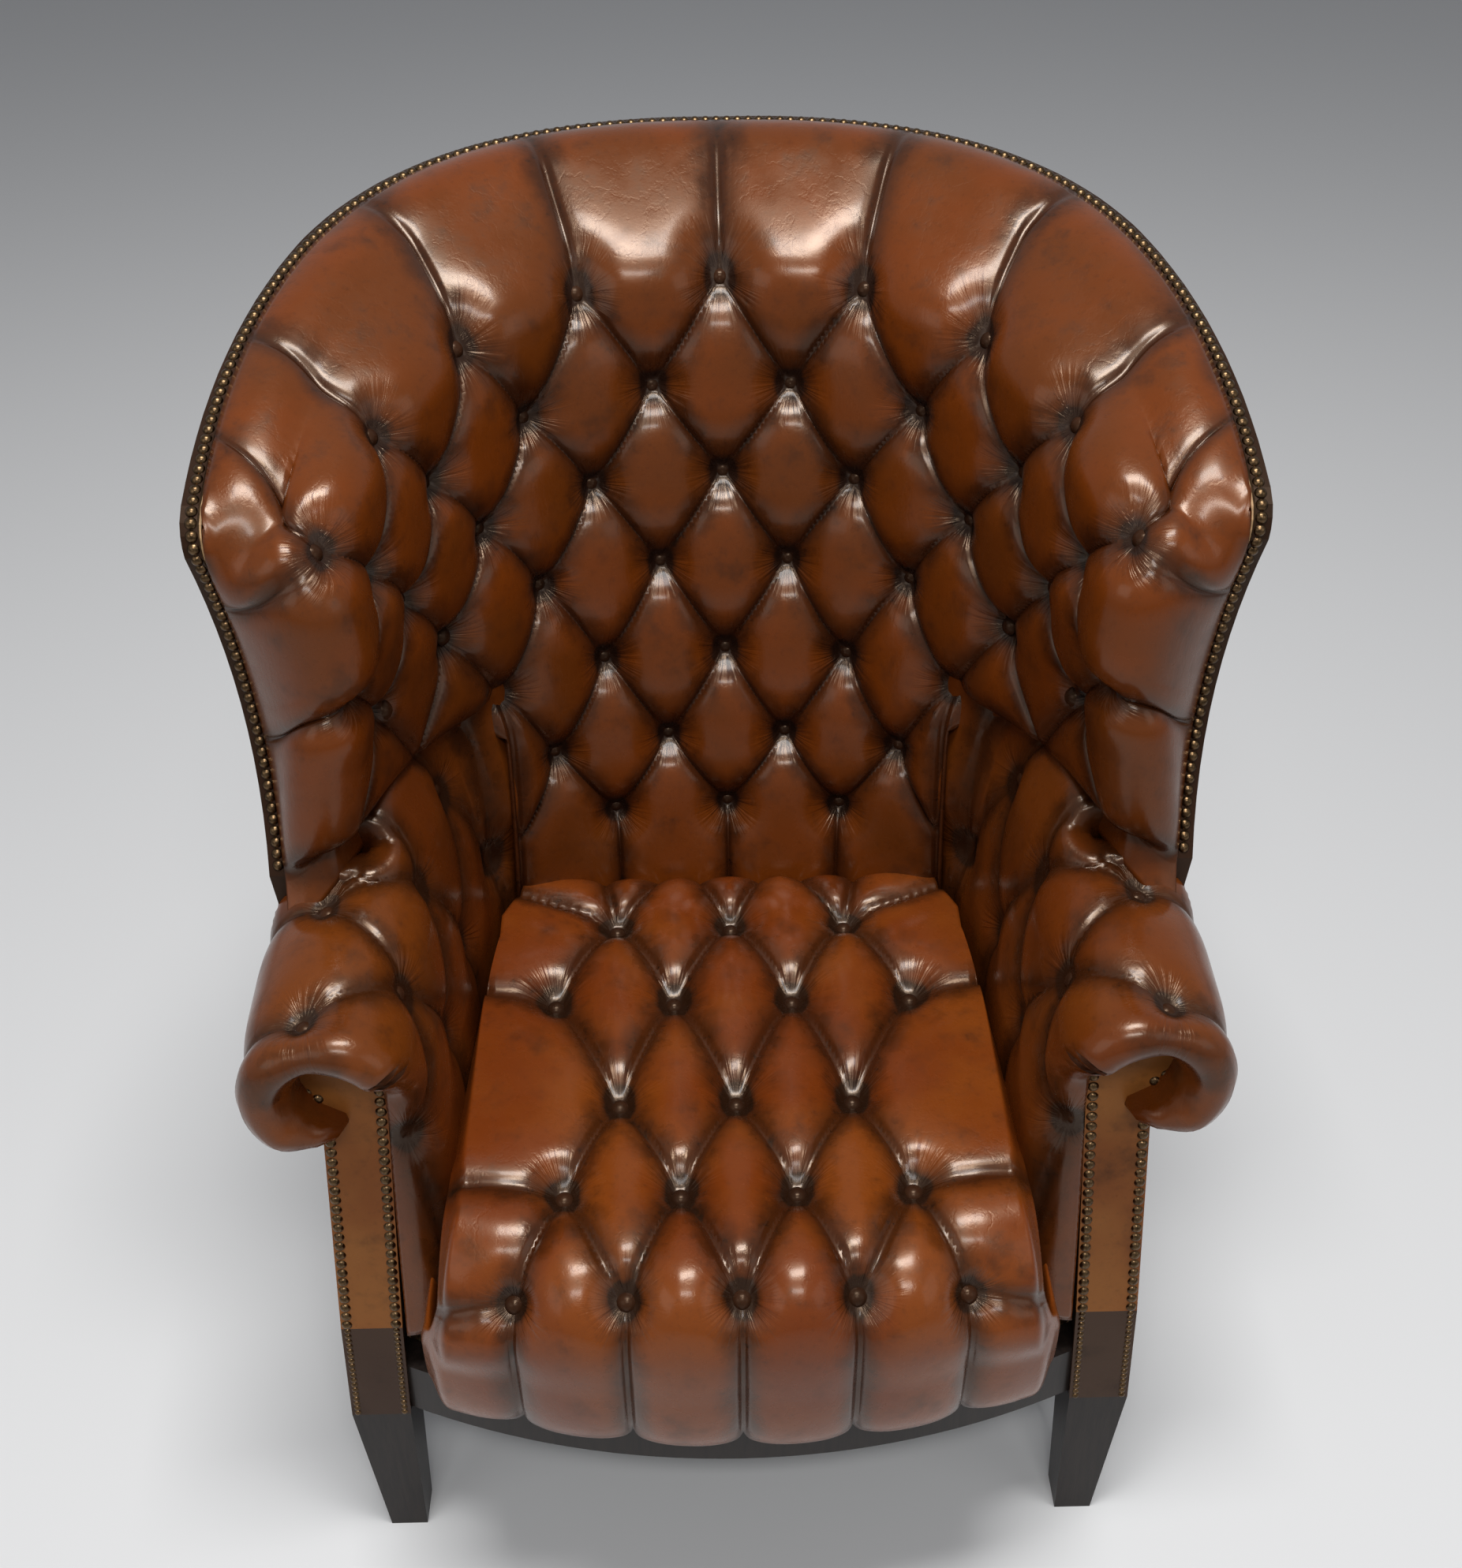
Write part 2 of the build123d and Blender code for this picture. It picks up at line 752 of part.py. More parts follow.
def joint_rods(radius, reach):
    """The dowels of the seat frame's right half, or their holes."""
    rods = []
    half = dowel_length / 2 + reach
    for z in (rail_foot + dowel_lift, rail_foot + dowel_lift + dowel_spacing):
        front_x = post_inner_x(z) + post_inner_inset
        front_y = front_rail_y(front_x) + rail_thickness / 2
        rods.append(rod(radius, (front_x - half, front_y, z), (front_x + half, front_y, z)))
        side_x = shell_x(post_back_y, z, side_rail_inset + side_rail_thickness / 2)
        rods.append(rod(radius, (side_x, post_back_y - half, z), (side_x, post_back_y + half, z)))
        for x in (rear_leg_inner_x, rear_leg_outer_x):
            share = rear_dowel_share
            rods.append(rod(radius, rail_middle(x - half * share, z), rail_middle(x + half * share, z)))
    return rods


def screw_rods(radius, reach):
    """The screws through the corner blocks of the right half, or their holes."""
    front_y = front_rail_y(front_screw_x) + rail_thickness + screw_length / 2
    side_x = shell_x(side_screw_y, screw_z, side_rail_inset + side_rail_thickness) - screw_length / 2
    back_y = shell_y(back_screw_x, screw_z, frame_back) - screw_length / 2
    half = screw_length / 2 + reach
    return [
        rod(radius, (front_screw_x, front_y - half, screw_z), (front_screw_x, front_y + half, screw_z)),
        rod(radius, (side_x - half, side_screw_y, screw_z), (side_x + half, side_screw_y, screw_z)),
        rod(radius, (back_screw_x, back_y - half, screw_z), (back_screw_x, back_y + half, screw_z)),
    ]


def both_sides(shapes):
    return group([part for shape in shapes for part in (shape, mirrored(shape))])


def front_rail_y(x):
    """The bowed front of the front rail."""
    return front_rail_front_y + front_rail_bow * (x / rear_leg_outer_x) ** 2


def behind_bow(set_back, z0, z1):
    """The prism behind the front rail's bow, set back from its front."""
    bow_x, far = leg_outer_x - leg_block, rim_half_width
    side_y = front_rail_y(bow_x) + set_back
    points = [(-bow_x, side_y, z0), (bow_x, side_y, z0), (far, side_y, z0)]
    points += [(far, overall_depth, z0), (-far, overall_depth, z0), (-far, side_y, z0)]
    plan = closed_wire(points, {0: (0, front_rail_front_y + set_back, z0)})
    return extrude(Face(plan), amount=z1 - z0, dir=(0, 0, 1))


dowel_holes = both_sides(joint_rods(dowel_radius + fastener_room, fastener_room))
screw_holes = both_sides(screw_rods(corner_screw_radius + fastener_room, fastener_room))


# The front legs, arm rails and facings, built on the right and mirrored


def raked_slab(front, back, z0, z1):
    """The prism across the right half between two set-backs from the front of the facing."""
    heights = [z0, panel_top, z1] if z0 < panel_top < z1 else [z0, z1]
    points = [(0, face_y(z) + front, z) for z in heights]
    points += [(0, face_y(z) + back, z) for z in heights[::-1]]
    return extrude(Face(closed_wire(points, {})), amount=rim_half_width, dir=(1, 0, 0))


def leaning_bar(inner_inset, outer_inset, z0, z1):
    """A bar along the chair between two insets of the facing's edges."""
    points = [(post_inner_x(z) + inner_inset, nose_y, z) for z in (z0, z1)]
    points += [(post_inner_x(z) + leg_block - outer_inset, nose_y, z) for z in (z1, z0)]
    return extrude(Face(closed_wire(points, {})), amount=overall_depth, dir=(0, 1, 0))


def arm_round(radius, y0, y1):
    """A round bar along the roll's axis."""
    rings = []
    for y in (y0, y1):
        plane = Plane(origin=(roll_centre_x, y, roll_z(y)), x_dir=(1, 0, 0), z_dir=(0, 1, 0))
        rings.append(Wire.make_circle(radius, plane))
    return Solid.make_loft(rings, ruled=True)


def square_at(x0, x1, y0, y1, z):
    return [(x0, y0, z), (x1, y0, z), (x1, y1, z), (x0, y1, z)], {}


arm_rail_back_y = wing_foot_y - wing_lap - clear
scroll_z = roll_z(face_y(roll_centre_z) + facing_thickness)
wood_front_y = wing_foot_y + wood_top


def post_bar(room, z1):
    """The post's place, with room all round."""
    bar = leaning_bar(post_inner_inset - room, post_outer_inset - room, leather_foot, z1)
    return bar & raked_slab(post_front - room, post_front + post_size + room, leather_foot, z1)


def make_front_leg():
    foot = square_at(leg_foot_outer_x - leg_foot_size, leg_foot_outer_x, leg_foot_front_y,
                     leg_foot_front_y + leg_foot_size, 0)
    top = square_at(leg_outer_x - leg_block, leg_outer_x, leg_front_y, leg_front_y + leg_block, leather_foot)
    cradle = arm_round(arm_core_radius + clear, nose_y, arm_rail_back_y)
    post = post_bar(0, roll_centre_z) & beside_arm(post_outer_inset, leg_outer_x, roll_centre_z)
    return loft_through([foot, top]) + post - cradle - dowel_holes


def make_arm_rail():
    rail = arm_round(arm_core_radius, nose_y, arm_rail_back_y)
    return rail & raked_slab(post_front, overall_depth, arm_low_row, roll_centre_z + roll_radius)


def make_leg_panel():
    slab = raked_slab(0, facing_thickness, leather_foot, panel_top)
    return leaning_bar(0, 0, leather_foot, panel_top) & slab


def make_arm_facing():
    strip = leaning_bar(0, 0, panel_top, roll_centre_z)
    scroll = rod(arm_core_radius, (roll_centre_x, nose_y, scroll_z), (roll_centre_x, 0, scroll_z))
    return (strip + scroll) & raked_slab(0, facing_thickness, panel_top, roll_centre_z + roll_radius)


def beside_arm(outer_inset, inner_inset, top):
    """The layer between two insets of the leather's outside under the arm's roll."""
    back_y = wood_front_y - clear
    sections = []
    for y in (nose_y, back_y):
        outer = []
        for z in (leather_foot, panel_top, top):
            front_y = face_y(z) + facing_thickness
            front_x = post_inner_x(z) + leg_block
            outer.append((between(front_x, shell_x(back_y, z, 0), (y - front_y) / (back_y - front_y)), y, z))
        near = [(x - outer_inset, y, z) for x, y, z in outer]
        sections.append((near + [(x - inner_inset, y, z) for x, y, z in outer[::-1]], {}))
    return loft_through(sections)


def make_outside_arm():
    slab = raked_slab(facing_thickness, overall_depth, leather_foot, outside_arm_top)
    return beside_arm(0, outside_leather, outside_arm_top) & slab


# The barrel's frame and leather

under_hoop = side_outline(wood_top + hoop_width + clear)
hoop_foot_z = wing_post_top + clear


def make_rear_leg():
    column = zone(rear_leg_inner_x, rear_leg_outer_x, None, None, rail_foot, None)
    upright = frame_shell & column & under_hoop
    corners = [(x, shell_y(x, rail_foot, inset)) for x in (rear_leg_inner_x, rear_leg_outer_x)
               for inset in (frame_back, frame_inset + rear_leg_ease)]
    order = (0, 2, 3, 1)
    top = [(corners[k][0], corners[k][1], rail_foot) for k in order], {}
    middle_x = rear_leg_outer_x - rear_leg_width / 2
    middle_y = shell_y(middle_x, rail_foot, frame_inset + frame_thickness / 2) + rear_splay
    half = rear_foot_size / 2
    foot = square_at(middle_x - half, middle_x + half, middle_y - half, middle_y + half, 0)
    return loft_through([foot, top]) + upright - dowel_holes


def make_back_hoop():
    hoop = frame_shell - side_outline(wood_top + hoop_width)
    return hoop & zone(None, None, None, None, hoop_foot_z, None)


def make_wing_post():
    edge = frame_shell - side_outline(wood_top + wing_post_width)
    return largest(edge & zone(0, None, None, None, wing_rail_high + clear, wing_post_top))


def make_wing_rail():
    return frame_shell & zone(rear_leg_outer_x + clear, None, None, None, wing_rail_low, wing_rail_high)


def make_back_rail():
    half = rear_leg_inner_x - clear
    return (frame_shell & zone(-half, half, None, None, rail_foot, rail_top)) - dowel_holes - screw_holes


def make_back_slats():
    half = slat_width / 2
    place = zone(slat_x - half, slat_x + half, None, None, rail_top + clear, None)
    slat = largest(frame_shell & place & under_hoop)
    return group([slat, mirrored(slat)])


def make_side_rail():
    ring = ring_of(side_rail_inset, side_rail_inset + side_rail_thickness)
    foot = rail_foot - web_thickness
    place = zone(rear_leg_outer_x + clear, None, post_back_y, None, foot, rail_top)
    rail = (ring & place) - beside_arm(-over, post_outer_inset, outside_arm_top)
    return largest(rail - dowel_holes - screw_holes)


def make_back_hessian():
    inset = frame_back + clear
    cloth = shell(inset, inset + hessian_thickness, wood_top)
    return cloth & zone(None, None, None, None, hessian_foot, None)


def make_rim_band():
    band = shell(0, band_width, 0) - side_outline(band_thickness)
    return band & zone(None, None, None, None, band_foot, None)


# The seat frame's front, corner blocks and fasteners


def make_front_rail():
    z1 = rail_foot + front_rail_height
    bowed = behind_bow(0, rail_foot, z1) - behind_bow(rail_thickness, rail_foot, z1)
    between_posts = bowed & zone(-leg_outer_x, leg_outer_x, None, None, None, None)
    space = leaning_bar(post_inner_inset - clear, -leg_block, leather_foot, panel_top)
    return largest(between_posts - space - mirrored(space) - dowel_holes - screw_holes)


def corner_prism(corner):
    """A corner block's plan carried up its height."""
    plan = Face(closed_wire([(x, y, corner_z) for x, y in corner], {}))
    return extrude(plan, amount=corner_block_height, dir=(0, 0, 1))


def make_corner_blocks():
    leg = corner_block_leg
    front_x, front_y = leg_outer_x - leg_block, front_rail_y(leg_outer_x)
    corner = [(front_x - leg, front_y - leg), (leg_outer_x, front_y - leg)]
    corner.append((leg_outer_x, post_back_y + leg))
    front = corner_prism(corner) & behind_bow(rail_thickness, corner_z, corner_z + corner_block_height)
    front = front - ring_of(-over, side_rail_inset + side_rail_thickness + clear)
    front = front - post_bar(clear, panel_top) - screw_holes
    short = leg * corner_block_short_share
    x0, x1 = back_screw_x - short, rear_leg_outer_x - short
    corner = [(x, shell_y(x, corner_z, frame_back) - reach) for x, reach in ((x0, leg), (x1, short))]
    corner += [(x1, foot_back_y), (x0, foot_back_y)]
    rear = corner_prism(corner) - ring_of(-over, frame_back) - screw_holes
    return both_sides([largest(front), largest(rear)])


# The seat


def seat_lift(column, row):
    """How far a pillow stands over the buttons; rows count from the front."""
    if is_button(column, row):
        return seat_pillow * seat_edge_share if abs(column) == seat_columns and row else 0
    return seat_pillow if abs(column) < seat_columns else seat_pillow * seat_edge_share


def seat_section(columns, side_top, bottom):
    """The closed section through the columns, with the seat's boxed sides and its underside."""
    (top_x, top_y, top_z), (low_x, low_y, low_z) = side_top, bottom
    points = [(-low_x, low_y, low_z), (-top_x, top_y, top_z)] + columns
    return points + [(top_x, top_y, top_z), (low_x, low_y, low_z)]


def pillow_arcs(points, first, valley_key):
    """Middle points that round each pillow from its valley to its crest along a section."""
    middles = {}
    for i in range(first, first + 4 * seat_columns):
        a, b = points[i], points[i + 1]
        low, high = sorted((a, b), key=valley_key)
        x = (a[0] + b[0]) / 2
        middles[i] = (x, *(between(low[k], high[k], pillow_round_share) for k in (1, 2)))
    return middles


def seat_row(row):
    """The section through a row of buttons behind the front one."""
    y, z, pitch = seat_row_ys[row], seat_button_heights[row], seat_row_pitches[row]
    columns = [(c * pitch, y, z + seat_lift(c, row)) for c in half_steps(seat_columns)]
    side_x = arm_half_width(y) - arm_clearance
    points = seat_section(columns, (side_x - seat_side_ease, y, z), (side_x, y, seat_underside))
    return points, pillow_arcs(points, 2, lambda point: point[2])


def nose_fall(x):
    """How far the bowed front has fallen back at a place across the chair, from its foremost crests."""
    return nose_bow * (x**2 - (seat_pitch_front / 2) ** 2) / nose_half_width**2


def front_row():
    """The section through the front row of buttons, which follows the bow and falls to its sides."""
    columns = []
    for column in half_steps(seat_columns):
        x = column * seat_pitch_front
        fall = nose_fall(x) * front_row_bow_share
        lift = seat_lift(column, 0) if abs(column) < seat_columns else 0
        columns.append((x, seat_row_ys[0] + fall, seat_button_heights[0] - fall * sight_slope + lift))
    side_x = nose_half_width - arm_clearance
    side_fall = nose_fall(side_x) * front_row_bow_share
    side_top = (side_x, seat_row_ys[0] + side_fall, seat_button_heights[0] - side_fall * sight_slope)
    bottom = (nose_half_width - arm_clearance * 2, nose_back_y, seat_underside)
    points = seat_section(columns, side_top, bottom)
    return points, pillow_arcs(points, 2, lambda point: point[2])


def nose_section(y, z, pleat, half_width, low_z):
    """A section round the nose, with a pleat at each whole column."""
    columns = []
    for column in half_steps(seat_columns):
        x = column * seat_pitch_front
        tuck = 0 if round(2 * column) % 2 else pleat
        columns.append((x, y + nose_fall(x) + tuck, z))
    side_top = (half_width, y + nose_fall(half_width), z)
    points = seat_section(columns, side_top, (half_width - arm_clearance, nose_back_y, low_z))
    return points, pillow_arcs(points, 2, lambda point: -point[1])


def make_seat_body():
    tail_step = seat_tail_half_width / seat_columns
    tail = [(c * tail_step, seat_tail_y, seat_tail_z) for c in half_steps(seat_columns)]
    tail_side = (seat_tail_half_width + arm_clearance, seat_tail_y, seat_tail_z)
    tail_low = (tail_side[0], seat_tail_y, seat_underside)
    rear_x = arm_half_width(seat_rear_y) - arm_clearance * 2
    rear_step = rear_x / (seat_columns + seat_rear_share)
    rear = []
    for c in half_steps(seat_columns):
        lift = 0 if is_button(c, 0) else seat_rear_lift
        rear.append((c * rear_step, seat_rear_y, seat_line + lift))
    rear_side, rear_low = (rear_x, seat_rear_y, seat_line), (rear_x, seat_rear_y, seat_underside)
    rear_points = seat_section(rear, rear_side, rear_low)
    sections = [
        (seat_section(tail, tail_side, tail_low), {}),
        (rear_points, pillow_arcs(rear_points, 2, lambda point: point[2])),
    ]
    sections += [seat_row(row) for row in range(len(seat_row_ys) - 1, 0, -1)]
    sections.append(front_row())
    pleat, half = nose_pleat_depth, nose_half_width
    sections.append(nose_section(nose_y, nose_height, pleat, half, nose_height))
    sections.append(nose_section(nose_low_y, nose_low_height, pleat, half, nose_low_height))
    foot_points, _ = nose_section(seat_foot_y, seat_foot_z, pleat / 2, half, seat_foot_z)
    sections.append((foot_points, {}))
    return loft_through(sections)


# Buttons: each lies on the floor of a pocket in its pad


def dome(radius, height):
    """A spherical cap standing on its flat base."""
    ball = (radius**2 + height**2) / (2 * height)
    return (Pos(0, 0, height - ball) * Sphere(ball)) & block(-radius, radius, -radius, radius, 0, height)


def placed(shape, point, normal):
    return shape.moved(Plane(origin=point, z_dir=normal).location)


def seat_buttons_at():
    """The places and normals of the seat's buttons."""
    places = []
    for row in range(len(seat_row_ys)):
        for column in half_steps(seat_columns):
            edge = abs(column) == seat_columns and row
            if not is_button(column, row) or edge:
                continue
            if row:
                x = column * seat_row_pitches[row]
                places.append(((x, seat_row_ys[row], seat_button_heights[row]), (0, 0, 1)))
            else:
                points, _ = front_row()
                point = points[2 + round(2 * (column + seat_columns))]
                places.append((point, (0, -nose_button_tilt, 1)))
    return places


def back_buttons_at():
    """The places and normals of the buttons of the back and wings."""
    places = []
    for row, z in enumerate(row_heights + lower_row_heights[1:-1]):
        limit = lower_columns if row >= seam_row else wing_columns
        for column in half_steps(limit):
            if not is_button(column, row) or (row >= seam_row and abs(column) == limit):
                continue
            height = row_z(row, column) if row < seam_row else z
            x, y, _ = back_point(column, height, 0)
            _, _, inward_x, inward_y = plan_at(height, column)
            places.append(((x, y, height), (inward_x, inward_y, back_button_tilt)))
    return places


def arm_buttons_at():
    """The places and normals of the right arm's buttons."""
    places = []
    for i, y in enumerate(arm_face_ys):
        if y > wing_foot_y or i == 0:
            continue
        points, _ = arm_slice(i)
        index, angle = (3, ring_angles[1]) if arm_row_phase(y) else (2, ring_angles[0])
        turn = math.radians(angle)
        places.append((points[index], (math.cos(turn), 0, math.sin(turn))))
        if arm_row_phase(y):
            places.append((points[1], (-1, 0, low_button_tilt)))
    for y, half_width in zip(arm_face_ys, arm_face_half_widths):
        if y < wing_foot_y or y > arm_face_ys[-2]:
            continue
        points, _ = barrel_arm_slice(y, half_width)
        index = 1 if arm_row_phase(y) else 2
        places.append((points[index], (-1, 0, low_button_tilt)))
    return places


def pockets(places):
    radius = button_radius + clear
    standing = (Align.CENTER, Align.CENTER, Align.MIN)
    pocket = Pos(0, 0, -button_sink) * Cylinder(radius, over, align=standing)
    return [placed(pocket, point, normal) for point, normal in places]


def buttons(places):
    button = Pos(0, 0, -button_sink) * dome(button_radius, button_height)
    return group([placed(button, point, normal) for point, normal in places])


# Nails


def along(points, pitch):
    """Points at an equal pitch along a line of points, each with the number of the point before it."""
    places, left = [], 0
    for i, (a, b) in enumerate(zip(points, points[1:])):
        length = math.dist(a, b)
        while left <= length:
            share = left / length
            places.append((tuple(between(p, q, share) for p, q in zip(a, b)), i))
            left += pitch
        left -= length
    return places


def rim_nails_at():
    """The places and normals of the nails of the right half, from the centre back round to the arm."""
    inset = band_width / 2
    points, normals = [], []
    z = rim_height
    for angle in range(0, 90):
        for _ in range(3):
            x, y, _ = shell_point(z, inset, angle)
            z = rim_z(max(y, rim_front_y))
        if y <= rim_front_y:
            break
        slope = (rim_z(y + clear) - rim_z(y - clear)) / (2 * clear)
        points.append((x, y, z))
        normals.append((0, -slope, 1))
    z = rim_front_z - clear
    while z > wing_foot_z + nail_radius:
        y = wing_front(z)
        slope = (wing_front(z + clear) - wing_front(z - clear)) / (2 * clear)
        points.append((shell_x(y, z, inset), y, z))
        normals.append((0, -1, slope))
        z -= nail_walk
    return [(point, normals[i]) for point, i in along(points, rim_nail_pitch)]


def make_rim_nails():
    nail = Pos(0, 0, nail_lift) * dome(nail_radius, nail_height)
    centre, *rest = [placed(nail, point, normal) for point, normal in rim_nails_at()]
    return group([centre] + [shape for nail in rest for shape in (nail, mirrored(nail))])


def edge_nails(nail, pitch, z0, z1, normal):
    """Nails up both edges of a facing or leg panel."""
    nails = []
    outer_top = z1 - roll_radius * outer_edge_stop if z1 > panel_top else z1
    for inset, top in ((nail_margin, z1), (leg_block - nail_margin, outer_top)):
        count = round((top - z0) / pitch)
        for i in range(count + 1):
            z = between(z0, top, i / count)
            nails.append(placed(nail, (post_inner_x(z) + inset, face_y(z), z), normal))
    return nails


def make_facing_nails():
    nail = dome(nail_radius, nail_height)
    normal = (0, panel_top - roll_centre_z, post_rake)
    nails = edge_nails(nail, facing_nail_pitch, panel_top + nail_radius + clear, roll_centre_z, normal)
    radius = arm_core_radius - nail_margin
    count = round(math.radians(scroll_nails_end - scroll_nails_start) * radius / facing_nail_pitch)
    for i in range(count + 1):
        turn = math.radians(between(scroll_nails_start, scroll_nails_end, i / count))
        x, z = roll_centre_x + radius * math.cos(turn), scroll_z + radius * math.sin(turn)
        nails.append(placed(nail, (x, face_y(z), z), normal))
    return group(nails)


def make_panel_nails():
    nail = dome(panel_nail_radius, panel_nail_height)
    room = panel_nail_radius + clear
    return group(edge_nails(nail, panel_nail_pitch, leather_foot + room, panel_top - room, (0, -1, 0)))


# The springing


def make_long_webbing():
    bands = []
    for i in range(long_webs):
        x = (i - (long_webs - 1) / 2) * long_web_pitch
        far = abs(x) + web_width / 2
        front_y = front_rail_y(far) + web_end_room
        back_y = shell_y(far, rail_foot, frame_inset) - web_end_room
        x0, x1 = x - web_width / 2, x + web_width / 2
        bands.append(block(x0, x1, front_y, back_y, rail_foot - web_thickness, rail_foot))
    return group(bands)


def make_cross_webbing():
    z = rail_foot - web_thickness * 2
    bands = []
    for y in cross_web_ys:
        far_y = y + web_width / 2
        half = shell_x(far_y, rail_foot, side_rail_inset) - web_end_room
        bands.append(block(-half, half, y - web_width / 2, far_y, z, z + web_thickness))
    return group(bands)


def make_springs():
    height = spring_top - rail_foot - 2 * spring_wire - 2 * clear
    path = Helix(height / spring_turns, height, spring_radius)
    section = Plane(origin=path @ 0, z_dir=path % 0) * Circle(spring_wire)
    spring = sweep(section, path=path, is_frenet=True)
    z = rail_foot + spring_wire + clear
    return group([spring.moved(Location((x, y, z))) for x in spring_xs for y in spring_ys])


def make_seat_stuffing():
    width = arm_half_width(seat_rear_y) - stuffing_inset
    z0 = spring_top + clear + hessian_thickness
    return block(-width, width, nose_back_y + clear, seat_rear_y, z0, seat_underside)


def make_seat_hessian():
    width = arm_half_width(seat_rear_y) - stuffing_inset
    z1 = spring_top + hessian_thickness
    return block(-width, width, nose_back_y + clear, seat_rear_y, spring_top, z1)


def make_dust_cover():
    z1 = rail_foot - web_thickness * 2
    z0 = z1 - dust_cover_thickness
    points, middles = [], {}
    for i, angle in enumerate(plan_angles):
        x, y, _ = shell_point(leather_foot, dust_cover_inset, angle)
        points.append((x, y, z0))
        if i:
            x, y, _ = shell_point(leather_foot, dust_cover_inset, (plan_angles[i - 1] + angle) / 2)
            middles[i - 1] = (x, y, z0)
    plan = extrude(Face(closed_wire(points, middles)), amount=z1 - z0, dir=(0, 0, 1))
    cover = plan & behind_bow(rail_thickness / 2, z0, z1)
    front_x, front_y = leg_outer_x - leg_block - clear, leg_front_y + leg_block + clear
    front = block(front_x, overall_depth, nose_y, front_y, z0, z1)
    rear_x = rear_leg_outer_x + over
    rear = block(rear_leg_inner_x - over / 2, rear_x, -rear_leg_width, overall_depth, z0, z1)
    return largest(cover - front - mirrored(front) - rear - mirrored(rear))


seat_places = seat_buttons_at()
back_places = back_buttons_at()
arm_places = arm_buttons_at()

seat_cushion = largest(make_seat_body() - pockets(seat_places))
inside_back = largest(make_inside_back() - pockets(back_places))
inside_arm = largest(make_inside_arm() - pockets(arm_places))
arm_buttons = buttons(arm_places)

pieces = {
    "seat_cushion": seat_cushion,
    "inside_back": inside_back,
    "outside_back": leather_shell,
    "rim_band": make_rim_band(),
    "back_hoop": make_back_hoop(),
    "back_slats": make_back_slats(),
    "back_rail": make_back_rail(),
    "front_rail": make_front_rail(),
    "back_hessian": make_back_hessian(),
    "seat_hessian": make_seat_hessian(),
    "seat_stuffing": make_seat_stuffing(),
    "seat_springs": make_springs(),
    "seat_webbing_long": make_long_webbing(),
    "seat_webbing_cross": make_cross_webbing(),
    "dust_cover": make_dust_cover(),
    "corner_blocks": make_corner_blocks(),
    "corner_screws": both_sides(screw_rods(corner_screw_radius, 0)),
    "rail_dowels": both_sides(joint_rods(dowel_radius, 0)),
    "rim_nails": make_rim_nails(),
    "seat_buttons": buttons(seat_places),
    "back_buttons": buttons(back_places),
}

right_pieces = {
    "front_leg": make_front_leg(),
    "rear_leg": make_rear_leg(),
    "side_rail": make_side_rail(),
    "arm_rail": make_arm_rail(),
    "wing_rail": make_wing_rail(),
    "wing_post": make_wing_post(),
    "inside_arm": inside_arm,
    "outside_arm": make_outside_arm(),
    "arm_facing": make_arm_facing(),
    "leg_panel": make_leg_panel(),
    "facing_nails": make_facing_nails(),
    "panel_nails": make_panel_nails(),
    "arm_buttons": arm_buttons,
}

os.makedirs("parts", exist_ok=True)
for name, shape in pieces.items():
    export_step(shape, f"parts/{name}.step")
for name, shape in right_pieces.items():
    export_step(shape, f"parts/{name}_right.step")
    solids = [mirrored(solid) for solid in shape.solids()]
    export_step(group(solids) if len(solids) > 1 else solids[0], f"parts/{name}_left.step")
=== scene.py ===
import bpy
import math
import numpy as np
from mathutils import Matrix, Vector


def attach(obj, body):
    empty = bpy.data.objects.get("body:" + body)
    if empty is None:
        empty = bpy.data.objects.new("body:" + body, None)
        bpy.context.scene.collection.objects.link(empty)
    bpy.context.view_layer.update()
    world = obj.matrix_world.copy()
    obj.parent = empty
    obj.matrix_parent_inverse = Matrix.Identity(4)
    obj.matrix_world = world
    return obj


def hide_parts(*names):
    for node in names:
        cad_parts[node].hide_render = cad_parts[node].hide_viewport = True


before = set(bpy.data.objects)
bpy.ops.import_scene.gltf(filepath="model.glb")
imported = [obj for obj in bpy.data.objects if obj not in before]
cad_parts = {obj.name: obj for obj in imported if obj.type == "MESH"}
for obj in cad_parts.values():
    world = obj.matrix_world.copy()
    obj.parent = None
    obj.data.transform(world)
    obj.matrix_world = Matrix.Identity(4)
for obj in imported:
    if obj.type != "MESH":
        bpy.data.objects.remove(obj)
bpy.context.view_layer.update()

# The camera looks down into the chair from standing height, a step in front of it.
# Its place, tilt and lens come from the spacing of the buttons, the rim and the feet.
eye = Vector((-0.01794, -1.25399, 1.58871))
pitch, yaw, roll = math.radians(36), math.radians(0.88436), math.radians(-0.59251)
ahead = Vector((math.sin(yaw) * math.cos(pitch), math.cos(yaw) * math.cos(pitch), -math.sin(pitch)))
level = Vector((math.cos(yaw), -math.sin(yaw), 0))
upright = level.cross(ahead)
across = level * math.cos(roll) + upright * math.sin(roll)
above = upright * math.cos(roll) - level * math.sin(roll)
camera_data = bpy.data.cameras.new("camera")
camera_data.lens = 39.6
camera = bpy.data.objects.new("camera", camera_data)
camera.matrix_world = Matrix((across, above, -ahead)).transposed().to_4x4()
camera.location = eye
bpy.context.scene.collection.objects.link(camera)
bpy.context.scene.camera = camera


# The inside of the back and wings: one hide of cognac leather over deep wadding, pulled in by
# buttons in offset rows. Straight pleats run from the top row over the rim to the nails, and from
# the wings' last buttons round their front edge. Shapes are in millimetres until lay().
shell_power = 2.4
rim_inset, edge_inset = 14, 13
rim_pitch, wing_pitch = 174, 88
corner_y, corner_z = -85, 1005
hide = 0.003


